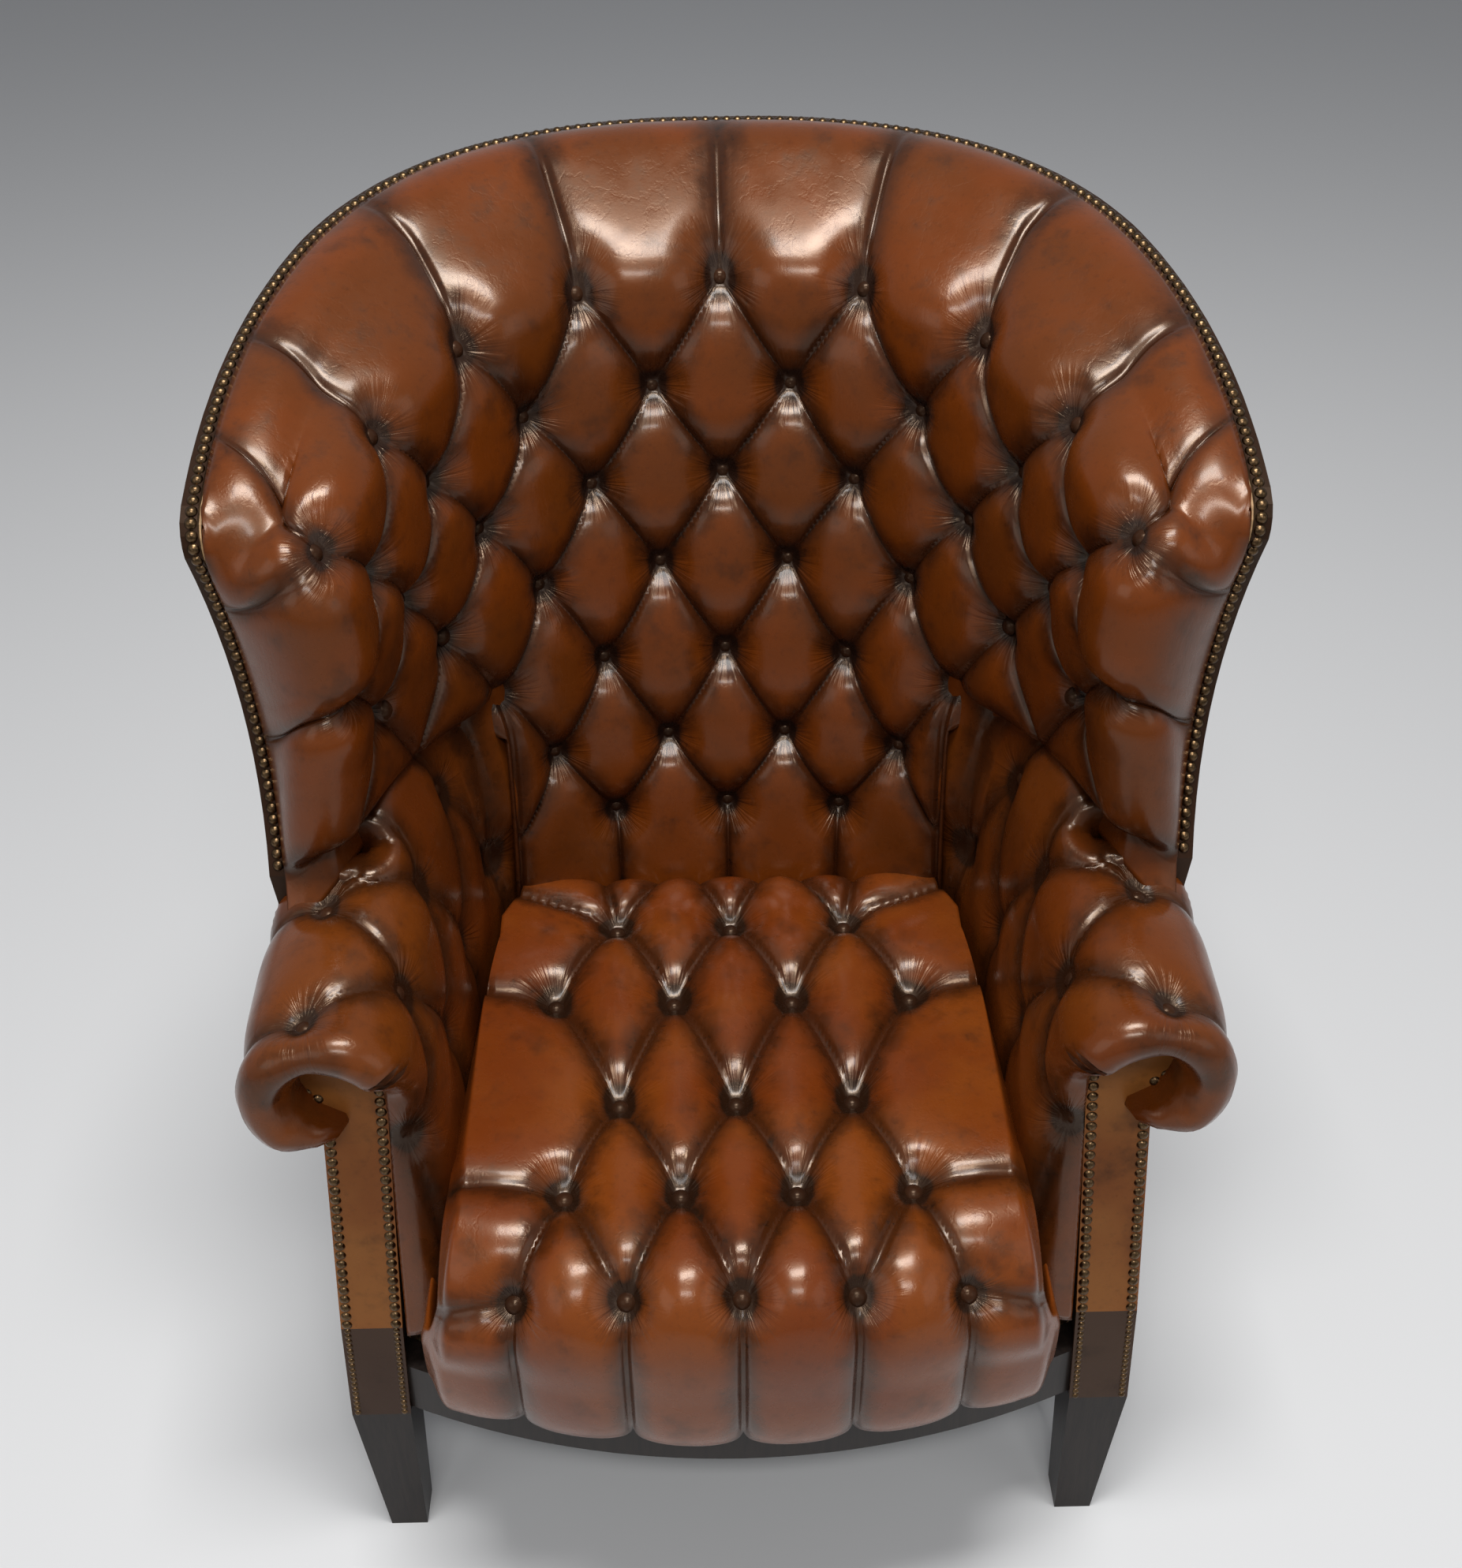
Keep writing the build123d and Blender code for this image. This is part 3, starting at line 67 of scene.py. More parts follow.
def superellipse_walk(half_width, depth, back_y, power, distance):
    """The place at a distance along a horseshoe plan from its centre back, for arrays of horseshoes."""
    steps, batch = 150, 6000
    turn = np.linspace(0, 1, steps) ** 2 * math.pi / 2
    side = np.sin(turn) ** (2 / power)
    along = 1 - np.maximum(np.cos(turn), 0) ** (2 / power)
    out_x, out_y = np.empty_like(distance), np.empty_like(distance)
    for part in np.array_split(np.arange(distance.size), max(distance.size // batch, 1)):
        x = half_width[part, None] * side
        y = back_y[part, None] - depth[part, None] * along
        length = np.hypot(np.diff(x), np.diff(y))
        walked = np.concatenate([np.zeros((part.size, 1)), np.cumsum(length, axis=1)], axis=1)
        far = np.abs(distance[part])
        k = np.clip((walked < far[:, None]).sum(axis=1), 1, turn.size - 1)
        row = np.arange(part.size)
        share = (far - walked[row, k - 1]) / (walked[row, k] - walked[row, k - 1])
        inside = np.minimum(share, 1)
        out_x[part] = np.sign(distance[part]) * (x[row, k - 1] + (x[row, k] - x[row, k - 1]) * inside)
        out_y[part] = y[row, k - 1] + (y[row, k] - y[row, k - 1]) * inside
        out_y[part] -= np.maximum(far - walked[:, -1], 0)
    return out_x, out_y


def barrel_inside(column, z):
    """The barrel that the buttons lie on, wider and deeper from the seat up to the top row."""
    share = (z - 470) / 530
    pitch_mm = 110 + 19 * share
    half_width, depth, back_y = 237 + 89 * share, 56 + 493 * share, 130 + 120 * share
    return superellipse_walk(half_width, depth, back_y, 2.447, column * pitch_mm)


def shell_plan(z):
    """The outside back's horseshoe at a height: its half width, its depth and its rearmost y."""
    share = (z - 183) / 968
    return 358 + 58 * share, 570 - 48 * share, 173 + 225 * share


def shell_x(y, z, inset):
    """Half the outside back's width at a place, less an inset."""
    half_width, depth, back_y = shell_plan(z)
    share = np.maximum((y - back_y + depth) / (depth - inset), 0)
    return (half_width - inset) * np.maximum(1 - share**shell_power, 0) ** (1 / shell_power)


def circle(a, b, c):
    """The middle and radius of the circle through three points."""
    (ax, ay), (bx, by), (cx, cy) = a, b, c
    det = 2 * (ax * (by - cy) + bx * (cy - ay) + cx * (ay - by))
    aa, bb, cc = ax * ax + ay * ay, bx * bx + by * by, cx * cx + cy * cy
    x = (aa * (by - cy) + bb * (cy - ay) + cc * (ay - by)) / det
    y = (aa * (cx - bx) + bb * (ax - cx) + cc * (bx - ax)) / det
    return x, y, math.hypot(ax - x, ay - y)


def rim_z(y):
    """The rim's height: seen from the side, one arc from the wing's corner to the top of the back."""
    cy, cz, r = circle((corner_y, corner_z), (150, 1098), (398, 1151))
    return cz + np.sqrt(r**2 - (y - cy) ** 2)


def wing_front(z):
    """The wing's front edge: a long hollow arc, and a small round one above it up to the corner."""
    turn_y, turn_z = -106, 972
    cy, cz, r = circle((-131, 687), (-86, 858), (turn_y, turn_z))
    low = cy + np.sqrt(np.maximum(r**2 - (z - cz) ** 2, 0))
    cy, cz, r = circle((turn_y, turn_z), (-101, 991), (corner_y, corner_z))
    high = cy - np.sqrt(np.maximum(r**2 - (z - cz) ** 2, 0))
    return np.where(z > turn_z, high, low)


def rim_place(distance, inset, rise):
    """A place inside the nailed rim: its distance from the centre, how far in, and how far above."""
    first_guess, rounds, step = 1098.0, 4, 15
    z = np.full(distance.shape, first_guess)
    for _ in range(rounds):
        plan = [length - rim_inset for length in shell_plan(z)]
        x, y = superellipse_walk(*plan, shell_power, distance)
        z = rim_z(np.maximum(y, corner_y))
    next_x, next_y = superellipse_walk(*plan, shell_power, distance + step)
    way_x, way_y = next_x - x, next_y - y
    length = np.hypot(way_x, way_y)
    return np.stack([x + way_y / length * inset, y - way_x / length * inset, z + rise], axis=1)


def bridged(k, start, end, leave, arrive):
    """A cubic between two places as k goes from 0 to 1, with its slopes at both."""
    rest = (1 - k) ** 2
    return start * (1 + 2 * k) * rest + leave * k * rest + end * k * k * (3 - 2 * k) + arrive * k * k * (k - 1)


def flowing(x, knots, values):
    """A smooth curve through values at rising knots."""
    knots, values = np.array(knots, dtype=float), np.array(values, dtype=float)
    slope = np.gradient(values, knots)
    k = np.clip(np.searchsorted(knots, x) - 1, 0, knots.size - 2)
    width = knots[k + 1] - knots[k]
    t = np.clip((x - knots[k]) / width, 0, 1)
    return bridged(t, values[k], values[k + 1], slope[k] * width, slope[k + 1] * width)


def eased(x, low, high):
    """0 up to low, 1 from high on, and a soft step between them."""
    share = np.clip((x - low) / (high - low), 0, 1)
    return share * share * (3 - 2 * share)


back_rows = (0, 1, 2, 3, 4, 5, 6, 7.37)
back_row_z = (1048, 959, 879, 797, 710, 625, 552, 452)
wing_rows = (-1, 0, 2, 4, 5)
wing_row_z = (992, 925, 800, 694, 600)
last_column = 4


def over_rim(column, t, top):
    """The leather from its top row, where t is 0, over the padded rim to the nails, where t is 1."""
    whole = np.minimum(np.abs(column), 3)
    distance = np.sign(column) * (rim_pitch * whole + wing_pitch * (np.abs(column) - whole))
    skew = np.sign(column) * np.maximum(np.abs(column) - 2.6, 0) * 1.4
    marks = [top]
    for ahead_mm, inset, rise in ((18, 52, -38), (7, 26, -13), (0, 0, 0)):
        marks.append(rim_place(distance + ahead_mm * skew, inset, rise))
    first, second = 0.42, 0.72
    below = back_place(column, np.full(column.shape, first))
    slopes = [(marks[1] - below) / (2 * first), (marks[2] - marks[0]) / second,
              (marks[3] - marks[1]) / (1 - first), (marks[3] - marks[2]) / (1 - second)]
    place = np.empty((column.size, 3))
    for i, (low, high) in enumerate(((0, first), (first, second), (second, 1))):
        here, width = (t >= low) & (t <= high), high - low
        k = ((t - low) / width)[here][:, None]
        place[here] = bridged(k, marks[i][here], marks[i + 1][here],
                              slopes[i][here] * width, slopes[i + 1][here] * width)
    return place


def back_place(s, v):
    """The leather at its buttons: s counts columns from the centre, v rows down from the top one."""
    column = np.clip(s, -last_column, last_column)
    wing_share = np.clip(np.abs(column) - 2, 0, 2) / 2
    z = flowing(v, back_rows, back_row_z)
    z = z - 5 * np.clip((z - 797) / 251, 0, 1) * column**2
    z = z + 14 * wing_share * np.clip(v - 3, 0, 1)
    x, y = barrel_inside(column, z)
    x = x + np.sign(s) * 50 * wing_share * np.clip((v - 1.5) / 2.5, 0, 1)
    place = np.stack([x, y, z], axis=1)
    rim = v < 0
    if rim.any():
        place[rim] = over_rim(column[rim], -v[rim], place[rim])
    wing = np.abs(s) > last_column
    if wing.any():
        side, share, row = np.sign(s[wing]), np.abs(s[wing]) - last_column, v[wing]
        high = np.clip(-row, 0, 1)[:, None] ** 2
        away = wing_tip(side, share) - wing_place(side, share, np.full(row.shape, -1.0))
        place[wing] = wing_place(side, share, row) + away * high
    return place


def wing_tip(side, share):
    """The nailed line at the wing's tip: along the rim to its corner, then down the front edge."""
    at_corner = 0.75
    start = rim_place(np.array([3.0 * rim_pitch + wing_pitch]), 0, 0)[0]
    y = np.interp(share, (0, at_corner, 1), (start[1], corner_y, -100))
    z = np.where(share < at_corner, rim_z(np.maximum(y, corner_y)), corner_z - 52 * (share - at_corner))
    return np.stack([side * shell_x(y, z, rim_inset), y, z], axis=1)


def wing_place(side, share, row):
    """The wing's front edge: the leather turns outward from its last column to the nails."""
    edge_z = np.interp(row, wing_rows, wing_row_z)
    edge_y = wing_front(edge_z)
    edge = np.stack([side * shell_x(edge_y, edge_z, edge_inset), edge_y, edge_z], axis=1)
    start, before = back_place(side * last_column, row), back_place(side * (last_column - 0.1), row)
    width = np.linalg.norm(edge - start, axis=1)[:, None]
    leave = (start - before) / np.linalg.norm(start - before, axis=1)[:, None] * width
    arrive = np.stack([side, 0.2 * side**2, 0 * side], axis=1) * width * 0.7
    return bridged(np.clip(share, 0, 1)[:, None], start, edge, leave, arrive)


def near_lines(u, v, lines):
    """Soft and true distances to a set of line pieces; the soft one rounds off where they meet."""
    sharpness, least = 4, 0.3
    total, nearest = np.zeros(u.shape), np.full(u.shape, np.inf)
    for u0, v0, u1, v1 in lines:
        du, dv = u1 - u0, v1 - v0
        t = np.clip(((u - u0) * du + (v - v0) * dv) / (du * du + dv * dv), 0, 1)
        d = np.hypot(u - u0 - t * du, v - v0 - t * dv)
        total += 1 / (d + least) ** sharpness
        nearest = np.minimum(nearest, d)
    return total ** (-1 / sharpness), nearest


def near_points(u, v, points):
    """Distance, unit direction and number of the nearest button."""
    points = np.array(points, dtype=float)
    d = np.hypot(u[:, None] - points[:, 0], v[:, None] - points[:, 1])
    k = d.argmin(axis=1)
    d = d[np.arange(u.size), k]
    way = np.stack([u - points[k, 0], v - points[k, 1]], axis=1) / np.maximum(d, 0.5)[:, None]
    return d, way, k


def tufts(s, v, metric, lines, buttons):
    """For every point of a hide, how near its pleats and its button are, in millimetres of leather."""
    pieces = [tuple(float(n) for n in (*metric(a, b), *metric(c, d))) for a, b, c, d in lines]
    u_mm, v_mm = metric(s, v)
    return *near_lines(u_mm, v_mm, pieces), *near_points(u_mm, v_mm, [metric(c, r) for c, r in buttons])


def pillow(soft, pleat, button, height, radius):
    """Height of stuffed leather: full between the pleats, creased along them, lowest at a button."""
    pleat_share, button_flat, dimple_width, crease_share, crease_width = 0.6, 5, 17, 0.16, 3
    reach = np.clip(soft / radius, 0, 1)
    full = (1 - (1 - reach) ** 2) ** 0.65
    dimple = 1 - np.exp(-((np.maximum(button - button_flat, 0) / dimple_width) ** 1.5))
    swell = dimple * (pleat_share + (1 - pleat_share) * full)
    return height * swell - crease_share * height * np.exp(-pleat / crease_width) * dimple


def normals_of(place, s, t, step=(0.01, 0.01)):
    """Unit normals of a surface of two arrays."""
    ds = place(s + step[0], t) - place(s - step[0], t)
    dt = place(s, t + step[1]) - place(s, t - step[1])
    normal = np.cross(ds, dt)
    return normal / np.maximum(np.linalg.norm(normal, axis=1), 1e-9)[:, None]


def leather_sheet(name, columns, rows, s_range, t_range):
    """A flat grid that carries its own two counts, to be laid over a piece."""
    bpy.ops.object.select_all(action="DESELECT")
    bpy.ops.mesh.primitive_grid_add(x_subdivisions=columns, y_subdivisions=rows, size=1)
    sheet = bpy.context.object
    sheet.name = sheet.data.name = name
    flat = np.empty(len(sheet.data.vertices) * 3)
    sheet.data.vertices.foreach_get("co", flat)
    flat = flat.reshape(-1, 3) + 0.5
    s = s_range[0] + (s_range[1] - s_range[0]) * flat[:, 0]
    t = t_range[0] + (t_range[1] - t_range[0]) * flat[:, 1]
    return sheet, s, t


def lay(sheet, place, keep=None, thickness=hide):
    """Moves the grid's points to their places in millimetres, drops what isn't kept, and gives it a wall."""
    mesh = sheet.data
    mesh.vertices.foreach_set("co", (place / 1000).astype(np.float32).ravel())
    mesh.update()
    bpy.context.view_layer.objects.active = sheet
    if keep is not None:
        mesh.vertices.foreach_set("select", ~keep)
        mesh.edges.foreach_set("select", np.zeros(len(mesh.edges), dtype=bool))
        mesh.polygons.foreach_set("select", np.zeros(len(mesh.polygons), dtype=bool))
        bpy.ops.object.mode_set(mode="EDIT")
        bpy.ops.mesh.select_mode(type="VERT")
        bpy.ops.mesh.delete(type="VERT")
        bpy.ops.object.mode_set(mode="OBJECT")
    wall = sheet.modifiers.new("wall", "SOLIDIFY")
    wall.thickness = thickness
    wall.offset = -1
    bpy.ops.object.modifier_apply(modifier="wall")
    bpy.ops.object.shade_smooth()


def note(sheet, pleat, button, spoke, seed):
    """Keeps each point's distance to its pleat and button, for the painted shade in the leather's colour and for its
    creases.
    """
    mesh = sheet.data
    mesh.attributes.new("pleat", "FLOAT", "POINT").data.foreach_set("value", pleat.astype(np.float32))
    mesh.attributes.new("button", "FLOAT", "POINT").data.foreach_set("value", button.astype(np.float32))
    # The third number sets the creases of neighbouring buttons apart, in seven kinds.
    vectors = np.stack([spoke[:, 0], spoke[:, 1], seed % 7 * 1.7], axis=1).astype(np.float32)
    mesh.attributes.new("spoke", "FLOAT_VECTOR", "POINT").data.foreach_set("vector", vectors.ravel())


def node(tree, kind, *links, **values):
    """A shader node; links are (input, value or socket) pairs, values are its settings."""
    new = tree.nodes.new("ShaderNode" + kind)
    for name, value in values.items():
        setattr(new, name, value)
    for name, value in links:
        if isinstance(value, bpy.types.NodeSocket):
            tree.links.new(value, new.inputs[name])
        else:
            new.inputs[name].default_value = value
    return new


def sums(tree, kind, a, b):
    return node(tree, "Math", (0, a), (1, b), operation=kind).outputs[0]


def ranged(tree, value, low, high, out_low, out_high):
    """A soft step of a socket's value from out_low, at low, to out_high, at high."""
    span = [("From Min", low), ("From Max", high), ("To Min", out_low), ("To Max", out_high)]
    return node(tree, "MapRange", ("Value", value), *span, interpolation_type="SMOOTHSTEP").outputs[0]


def noise(tree, vector, scale, detail, rough=0.55):
    """A noise of so many cells a metre."""
    links = [("Vector", vector), ("Scale", scale), ("Detail", detail), ("Roughness", rough)]
    return node(tree, "TexNoise", *links).outputs[0]


def veins(tree, vector, scale, detail):
    """A noise that falls to 0 along thin winding lines."""
    return sums(tree, "ABSOLUTE", sums(tree, "SUBTRACT", noise(tree, vector, scale, detail, 0.6), 0.5), 0)


def mixed(tree, share, a, b):
    return node(tree, "Mix", (0, share), (6, a), (7, b), data_type="RGBA").outputs[2]


def leather(name, light, warm, dark, tufted=True, rough=0.27):
    """Hand-dyed hide: warm patches, fine grain, painted shade at the pleats and buttons, and creases there."""
    material = bpy.data.materials.new(name)
    material.use_nodes = True
    tree = material.node_tree
    shader = tree.nodes["Principled BSDF"]
    place = node(tree, "TexCoord").outputs["Object"]
    cloud = noise(tree, place, 7, 3)
    patch = noise(tree, place, 26, 5, 0.62)
    speck = noise(tree, place, 160, 3, 0.6)
    colour = mixed(tree, ranged(tree, cloud, 0.38, 0.62, 0, 1), (*light, 1), (*warm, 1))
    stain_and_shade = ranged(tree, patch, 0.5, 0.78, 0, 0.55)
    stain_and_shade = sums(tree, "ADD", stain_and_shade, ranged(tree, speck, 0.52, 0.8, 0, 0.22))
    height = sums(tree, "MULTIPLY", noise(tree, place, 1500, 2, 0.5), 0.045)
    height = sums(tree, "ADD", height, sums(tree, "MULTIPLY", noise(tree, place, 420, 3, 0.6), 0.09))
    if tufted:
        pleat = node(tree, "Attribute", attribute_name="pleat").outputs["Fac"]
        button = node(tree, "Attribute", attribute_name="button").outputs["Fac"]
        spoke = node(tree, "Attribute", attribute_name="spoke").outputs["Vector"]
        # Painted shade: the colour darkens towards each pleat, with a ragged edge.
        edge = sums(tree, "ADD", pleat, ranged(tree, patch, 0.3, 0.7, -6, 6))
        stain_and_shade = sums(tree, "ADD", stain_and_shade, ranged(tree, edge, 0, 25, 0.78, 0))
        # Painted shade round each button, down in its dimple.
        stain_and_shade = sums(tree, "ADD", stain_and_shade, ranged(tree, button, 7, 20, 0.9, 0))
        lip = sums(tree, "MULTIPLY", ranged(tree, pleat, 3, 6, 0, 1), ranged(tree, pleat, 6, 10, 1, 0))
        height = sums(tree, "ADD", height, sums(tree, "MULTIPLY", lip, 0.4))
        rays = veins(tree, spoke, 3.4, 3)
        near = sums(tree, "MULTIPLY", ranged(tree, button, 8, 15, 0, 1), ranged(tree, button, 16, 44, 1, 0))
        height = sums(tree, "ADD", height, sums(tree, "MULTIPLY", sums(tree, "MULTIPLY", rays, near), 6.5))
        wave = node(tree, "Mapping", ("Vector", place), ("Scale", (1, 1, 0.35))).outputs[0]
        crinkle = ranged(tree, veins(tree, wave, 38, 4), 0, 0.05, 0, 0.1)
        height = sums(tree, "ADD", height, crinkle)
    stain_and_shade = node(tree, "Clamp", ("Value", stain_and_shade), ("Min", 0.0), ("Max", 1.0)).outputs[0]
    tree.links.new(mixed(tree, stain_and_shade, colour, (*dark, 1)), shader.inputs["Base Color"])
    gloss = ranged(tree, patch, 0.3, 0.75, rough - 0.05, rough + 0.1)
    tree.links.new(gloss, shader.inputs["Roughness"])
    bump = node(tree, "Bump", ("Height", height), ("Strength", 0.55), ("Distance", 0.001))
    tree.links.new(bump.outputs[0], shader.inputs["Normal"])
    shader.inputs["Coat Weight"].default_value = 0.2 if tufted else 0
    shader.inputs["Specular IOR Level"].default_value = 0.33 if tufted else 0.2
    shader.inputs["Coat Roughness"].default_value = 0.16
    shader.inputs["Specular Tint"].default_value = (1, 0.72, 0.5, 1)
    return material


def paint(piece, material):
    piece.data.materials.clear()
    piece.data.materials.append(material)


back_leather = leather("cognac_back_leather", light=(0.088, 0.02, 0.0022), warm=(0.112, 0.023, 0.002),
                       dark=(0.012, 0.004, 0.002))

back_buttons = [(c, 0) for c in range(-4, 5)] + [(c + 0.5, 1) for c in range(-4, 4)]
back_buttons += [(c, 2) for c in range(-4, 5)] + [(c + 0.5, 3) for c in range(-4, 4)]
back_buttons += [(c, 4) for c in range(-2, 3)] + [(c + 0.5, 5) for c in range(-2, 2)] + [(-1, 6), (0, 6), (1, 6)]


def back_metric(s, v):
    """The back's counts in millimetres of leather; the pads over the rim are longer than a row."""
    column_mm, row_mm, rim_mm = 120, 84, 160
    return np.asarray(s) * column_mm, np.where(np.asarray(v) < 0, np.asarray(v) * rim_mm, np.asarray(v) * row_mm)


back_lines = []
for c, r in back_buttons:
    for step in (-0.5, 0.5):
        if (c + step, r + 1) in back_buttons or (r == 3 and abs(c + step) in (3, 4)):
            back_lines.append((c, r, c + step, r + 1))
back_lines += [(c, 0, c, -1.3) for c in range(-4, 5)] + [(c, 6, c, 7.6) for c in (-1, 0, 1)]
for side in (-1, 1):
    back_lines += [(side * 4, 0, side * 5.2, 0.0), (side * 4, 2, side * 5.2, 2.0)]
    back_lines += [(side * 2, 4, side * 5.2, 4), (side * 2, 4, side * 2, 7.6), (side * 1.5, 5, side * 2, 6)]

# Below the wings the hide stops beside the arms. At its nailed edge it counts as shaded_mm from a
# pleat, where the painted shade is dark and the pleat's raised lip has ended.
beside_arms, wing_foot, shaded_mm = 2.07, 4.5, 10.5
inside_back, s, v = leather_sheet("inside_back_leather", 360, 151, (-5, 5), (-1, -1 + 151 / 18))
soft, pleat, button, spoke, seed = tufts(s, v, back_metric, back_lines, back_buttons)
to_rim, to_edge = np.clip(-v, 0, 1), np.clip(np.abs(s) - last_column, 0, 1)
lift = pillow(soft, pleat, button, 27 - 5 * to_rim, 42 + 20 * to_rim)
lift *= (1 - to_rim**2.5) ** 0.8 * (1 - to_edge**2)
lift[(np.abs(s) > beside_arms) & (v > 4.01)] = 0
base = back_place(s, v)
normal = -normals_of(back_place, s, v)
nailed = np.minimum(1 - to_rim, 1 - to_edge)
# Towards the nailed rim and wing edges the colour is darkened with painted shade, as near a pleat.
note(inside_back, np.minimum(pleat, shaded_mm + 100 * nailed), button, spoke, seed)
lay(inside_back, base + normal * lift[:, None], keep=(np.abs(s) < beside_arms) | (v < wing_foot))
paint(inside_back, back_leather)
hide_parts("inside_back")
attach(inside_back, "root")


# The arms: the same hide over a round rail and a padded inner face. Pleats run from the top buttons
# over the roll and down its outer side, and the front is rolled in round the recessed scroll. On the
# inner face the hide goes back into the corner between the back and the wing.
arm_ys = (-292, -276, -216, -156, -96, -36, 24, 104, 118)
arm_half_widths = (251, 250, 248, 248, 248, 247, 240, 218, 215)
roll_x, roll_core, roll_front = 322, 54, -301
face_foot, face_bend, face_height = 300, 530, 230


def roll_height(y):
    return 597 + 20 * (y + 292) / 161


def arm_skin(t, y):
    """The right arm's leather at its buttons: t climbs the inner face and goes over the roll."""
    half = flowing(y, arm_ys, arm_half_widths)
    side = half * 0.45 + (roll_x - 70) * 0.55 + 10
    turn = np.radians(np.interp(t, (2, 3, 4, 5), (153, 75, 5, -78)))
    ring_x = roll_x + roll_core * np.cos(turn)
    ring_z = roll_height(y) + roll_core * np.sin(turn) - 110 * np.maximum(t - 5, 0)
    start_x, start_z = roll_x - 0.891 * roll_core, roll_height(y) + 0.454 * roll_core
    low, climb = np.clip(t, 0, 1), np.clip(t - 1, 0, 1)
    x = np.where(t < 2, half + (side - half) * low + (start_x - side) * climb**1.4, ring_x)
    z = np.where(t < 2, face_foot + face_height * low + (start_z - face_bend) * climb, ring_z)
    # Further back there is no roll: the hide climbs on to the seam under the wing.
    seam = 686 + 20 * np.clip((y + 131) / 235, 0, 1)
    shelf = roll_height(y) + 23
    top = np.clip((t - 2) / 0.6, 0, 2.6)
    inner = half * 0.725 + (roll_x - 70) * 0.275 + 10
    inner_x = half + (inner - half) * low + 16 * climb**1.4 + 26 * top**1.4
    barrel, corner = eased(y, -128, -94), eased(y, 55, 122)
    inner_x = np.minimum(inner_x, shell_x(y, 700.0, 26))
    rise = np.minimum(top, 1) + (0.1 + 0.5 * corner) * np.maximum(top - 1, 0)
    inner_z = face_foot + face_height * low + (shelf - face_bend) * climb + (seam + 8 - shelf) * rise
    x = x + (inner_x - x) * barrel
    end_x = 212 - 28 * np.exp(-(((z - 600) / 55) ** 2))
    return np.stack([x + (end_x - x) * corner, y, z + (inner_z - z) * barrel], axis=1)


def arm_front(t):
    """Where the arm's leather turns in at the front, the radius of that turn, and how far round it goes."""
    level_z = np.interp(t, (0, 1, 2), (face_foot, face_bend, 600))
    face = -299.7 + 30 * np.maximum(level_z - 310, 0) / 287 + 2
    front = face + (roll_front - face) * eased(t, 1.45, 2.1) * (1 - eased(t, 4.98, 5.05))
    nose = np.interp(t, (0, 1, 1.6, 2.1), (46, 24, 16, 8))
    return front, nose, np.interp(t, (1.6, 2.1), (math.pi / 2, math.pi))


def arm_place(t, q):
    """The arm's leather with both ends rolled in, and the way its stuffing swells."""
    front, nose, _ = arm_front(t)
    heel = 9
    y = np.maximum(q, front + nose)
    turn = np.clip((front + nose - q) / nose, 0, math.pi)
    roll = eased(t, 2.4, 2.7) * (1 - eased(q, -96, -80))
    limit = -108 - heel - 26 * eased(t, 3.2, 4)
    end = np.clip((q - limit) / heel, 0, math.pi / 2) * roll
    inward = np.clip(q - limit - heel * math.pi / 2, 0, 25) * roll
    y = y + (np.minimum(y, limit) - y) * roll
    normal = normals_of(arm_skin, t, y, (0.02, 1.5))
    sunk = nose * (1 - np.cos(turn)) + heel * (1 - np.cos(end)) + inward
    place = arm_skin(t, y) - normal * sunk[:, None]
    place[:, 1] += heel * np.sin(end) - nose * np.sin(turn) + np.maximum(front + nose * (1 - math.pi) - q, 0)
    swell = normal * (np.cos(turn) * np.cos(end))[:, None]
    swell[:, 1] += np.sin(end) - np.sin(turn)
    return place, swell, turn


def arm_metric(t, y):
    """The arm's counts in millimetres of leather."""
    t, row_mm = np.asarray(t, dtype=float), 88
    return np.asarray(y, dtype=float), np.where(t < 1, (t - 1) * face_height, (t - 1) * row_mm)


# The last of these is a dimple that has no button.
arm_buttons = [(3, -276), (3, -156), (2, -216), (2, -96), (2, 24), (1, -276), (1, -156), (1, -36), (1.1, 72)]
arm_lines = []
for t, y in arm_buttons:
    for other_t, other_y in arm_buttons:
        if other_t == t - 1 and abs(other_y - y) == 60:
            arm_lines.append((t, y, other_t, other_y))
arm_lines += [(3, y, 5.3, y) for y in (-276, -156)] + [(1, y, -0.2, y) for y in (-276, -156, -36)]
arm_lines += [(2, -96, 3, -70), (2, 24, 3, 4), (1.1, 72, 2.9, 82), (1.1, 72, 2, 24), (1.1, 72, -0.2, 88)]
arm_lines += [(3, -156, 2.7, -118)]
arm_leather = leather("cognac_arm_leather", light=(0.112, 0.026, 0.003), warm=(0.093, 0.019, 0.0022),
                      dark=(0.014, 0.005, 0.002))
face_cells, row_cells, rear = 39, 15, 124
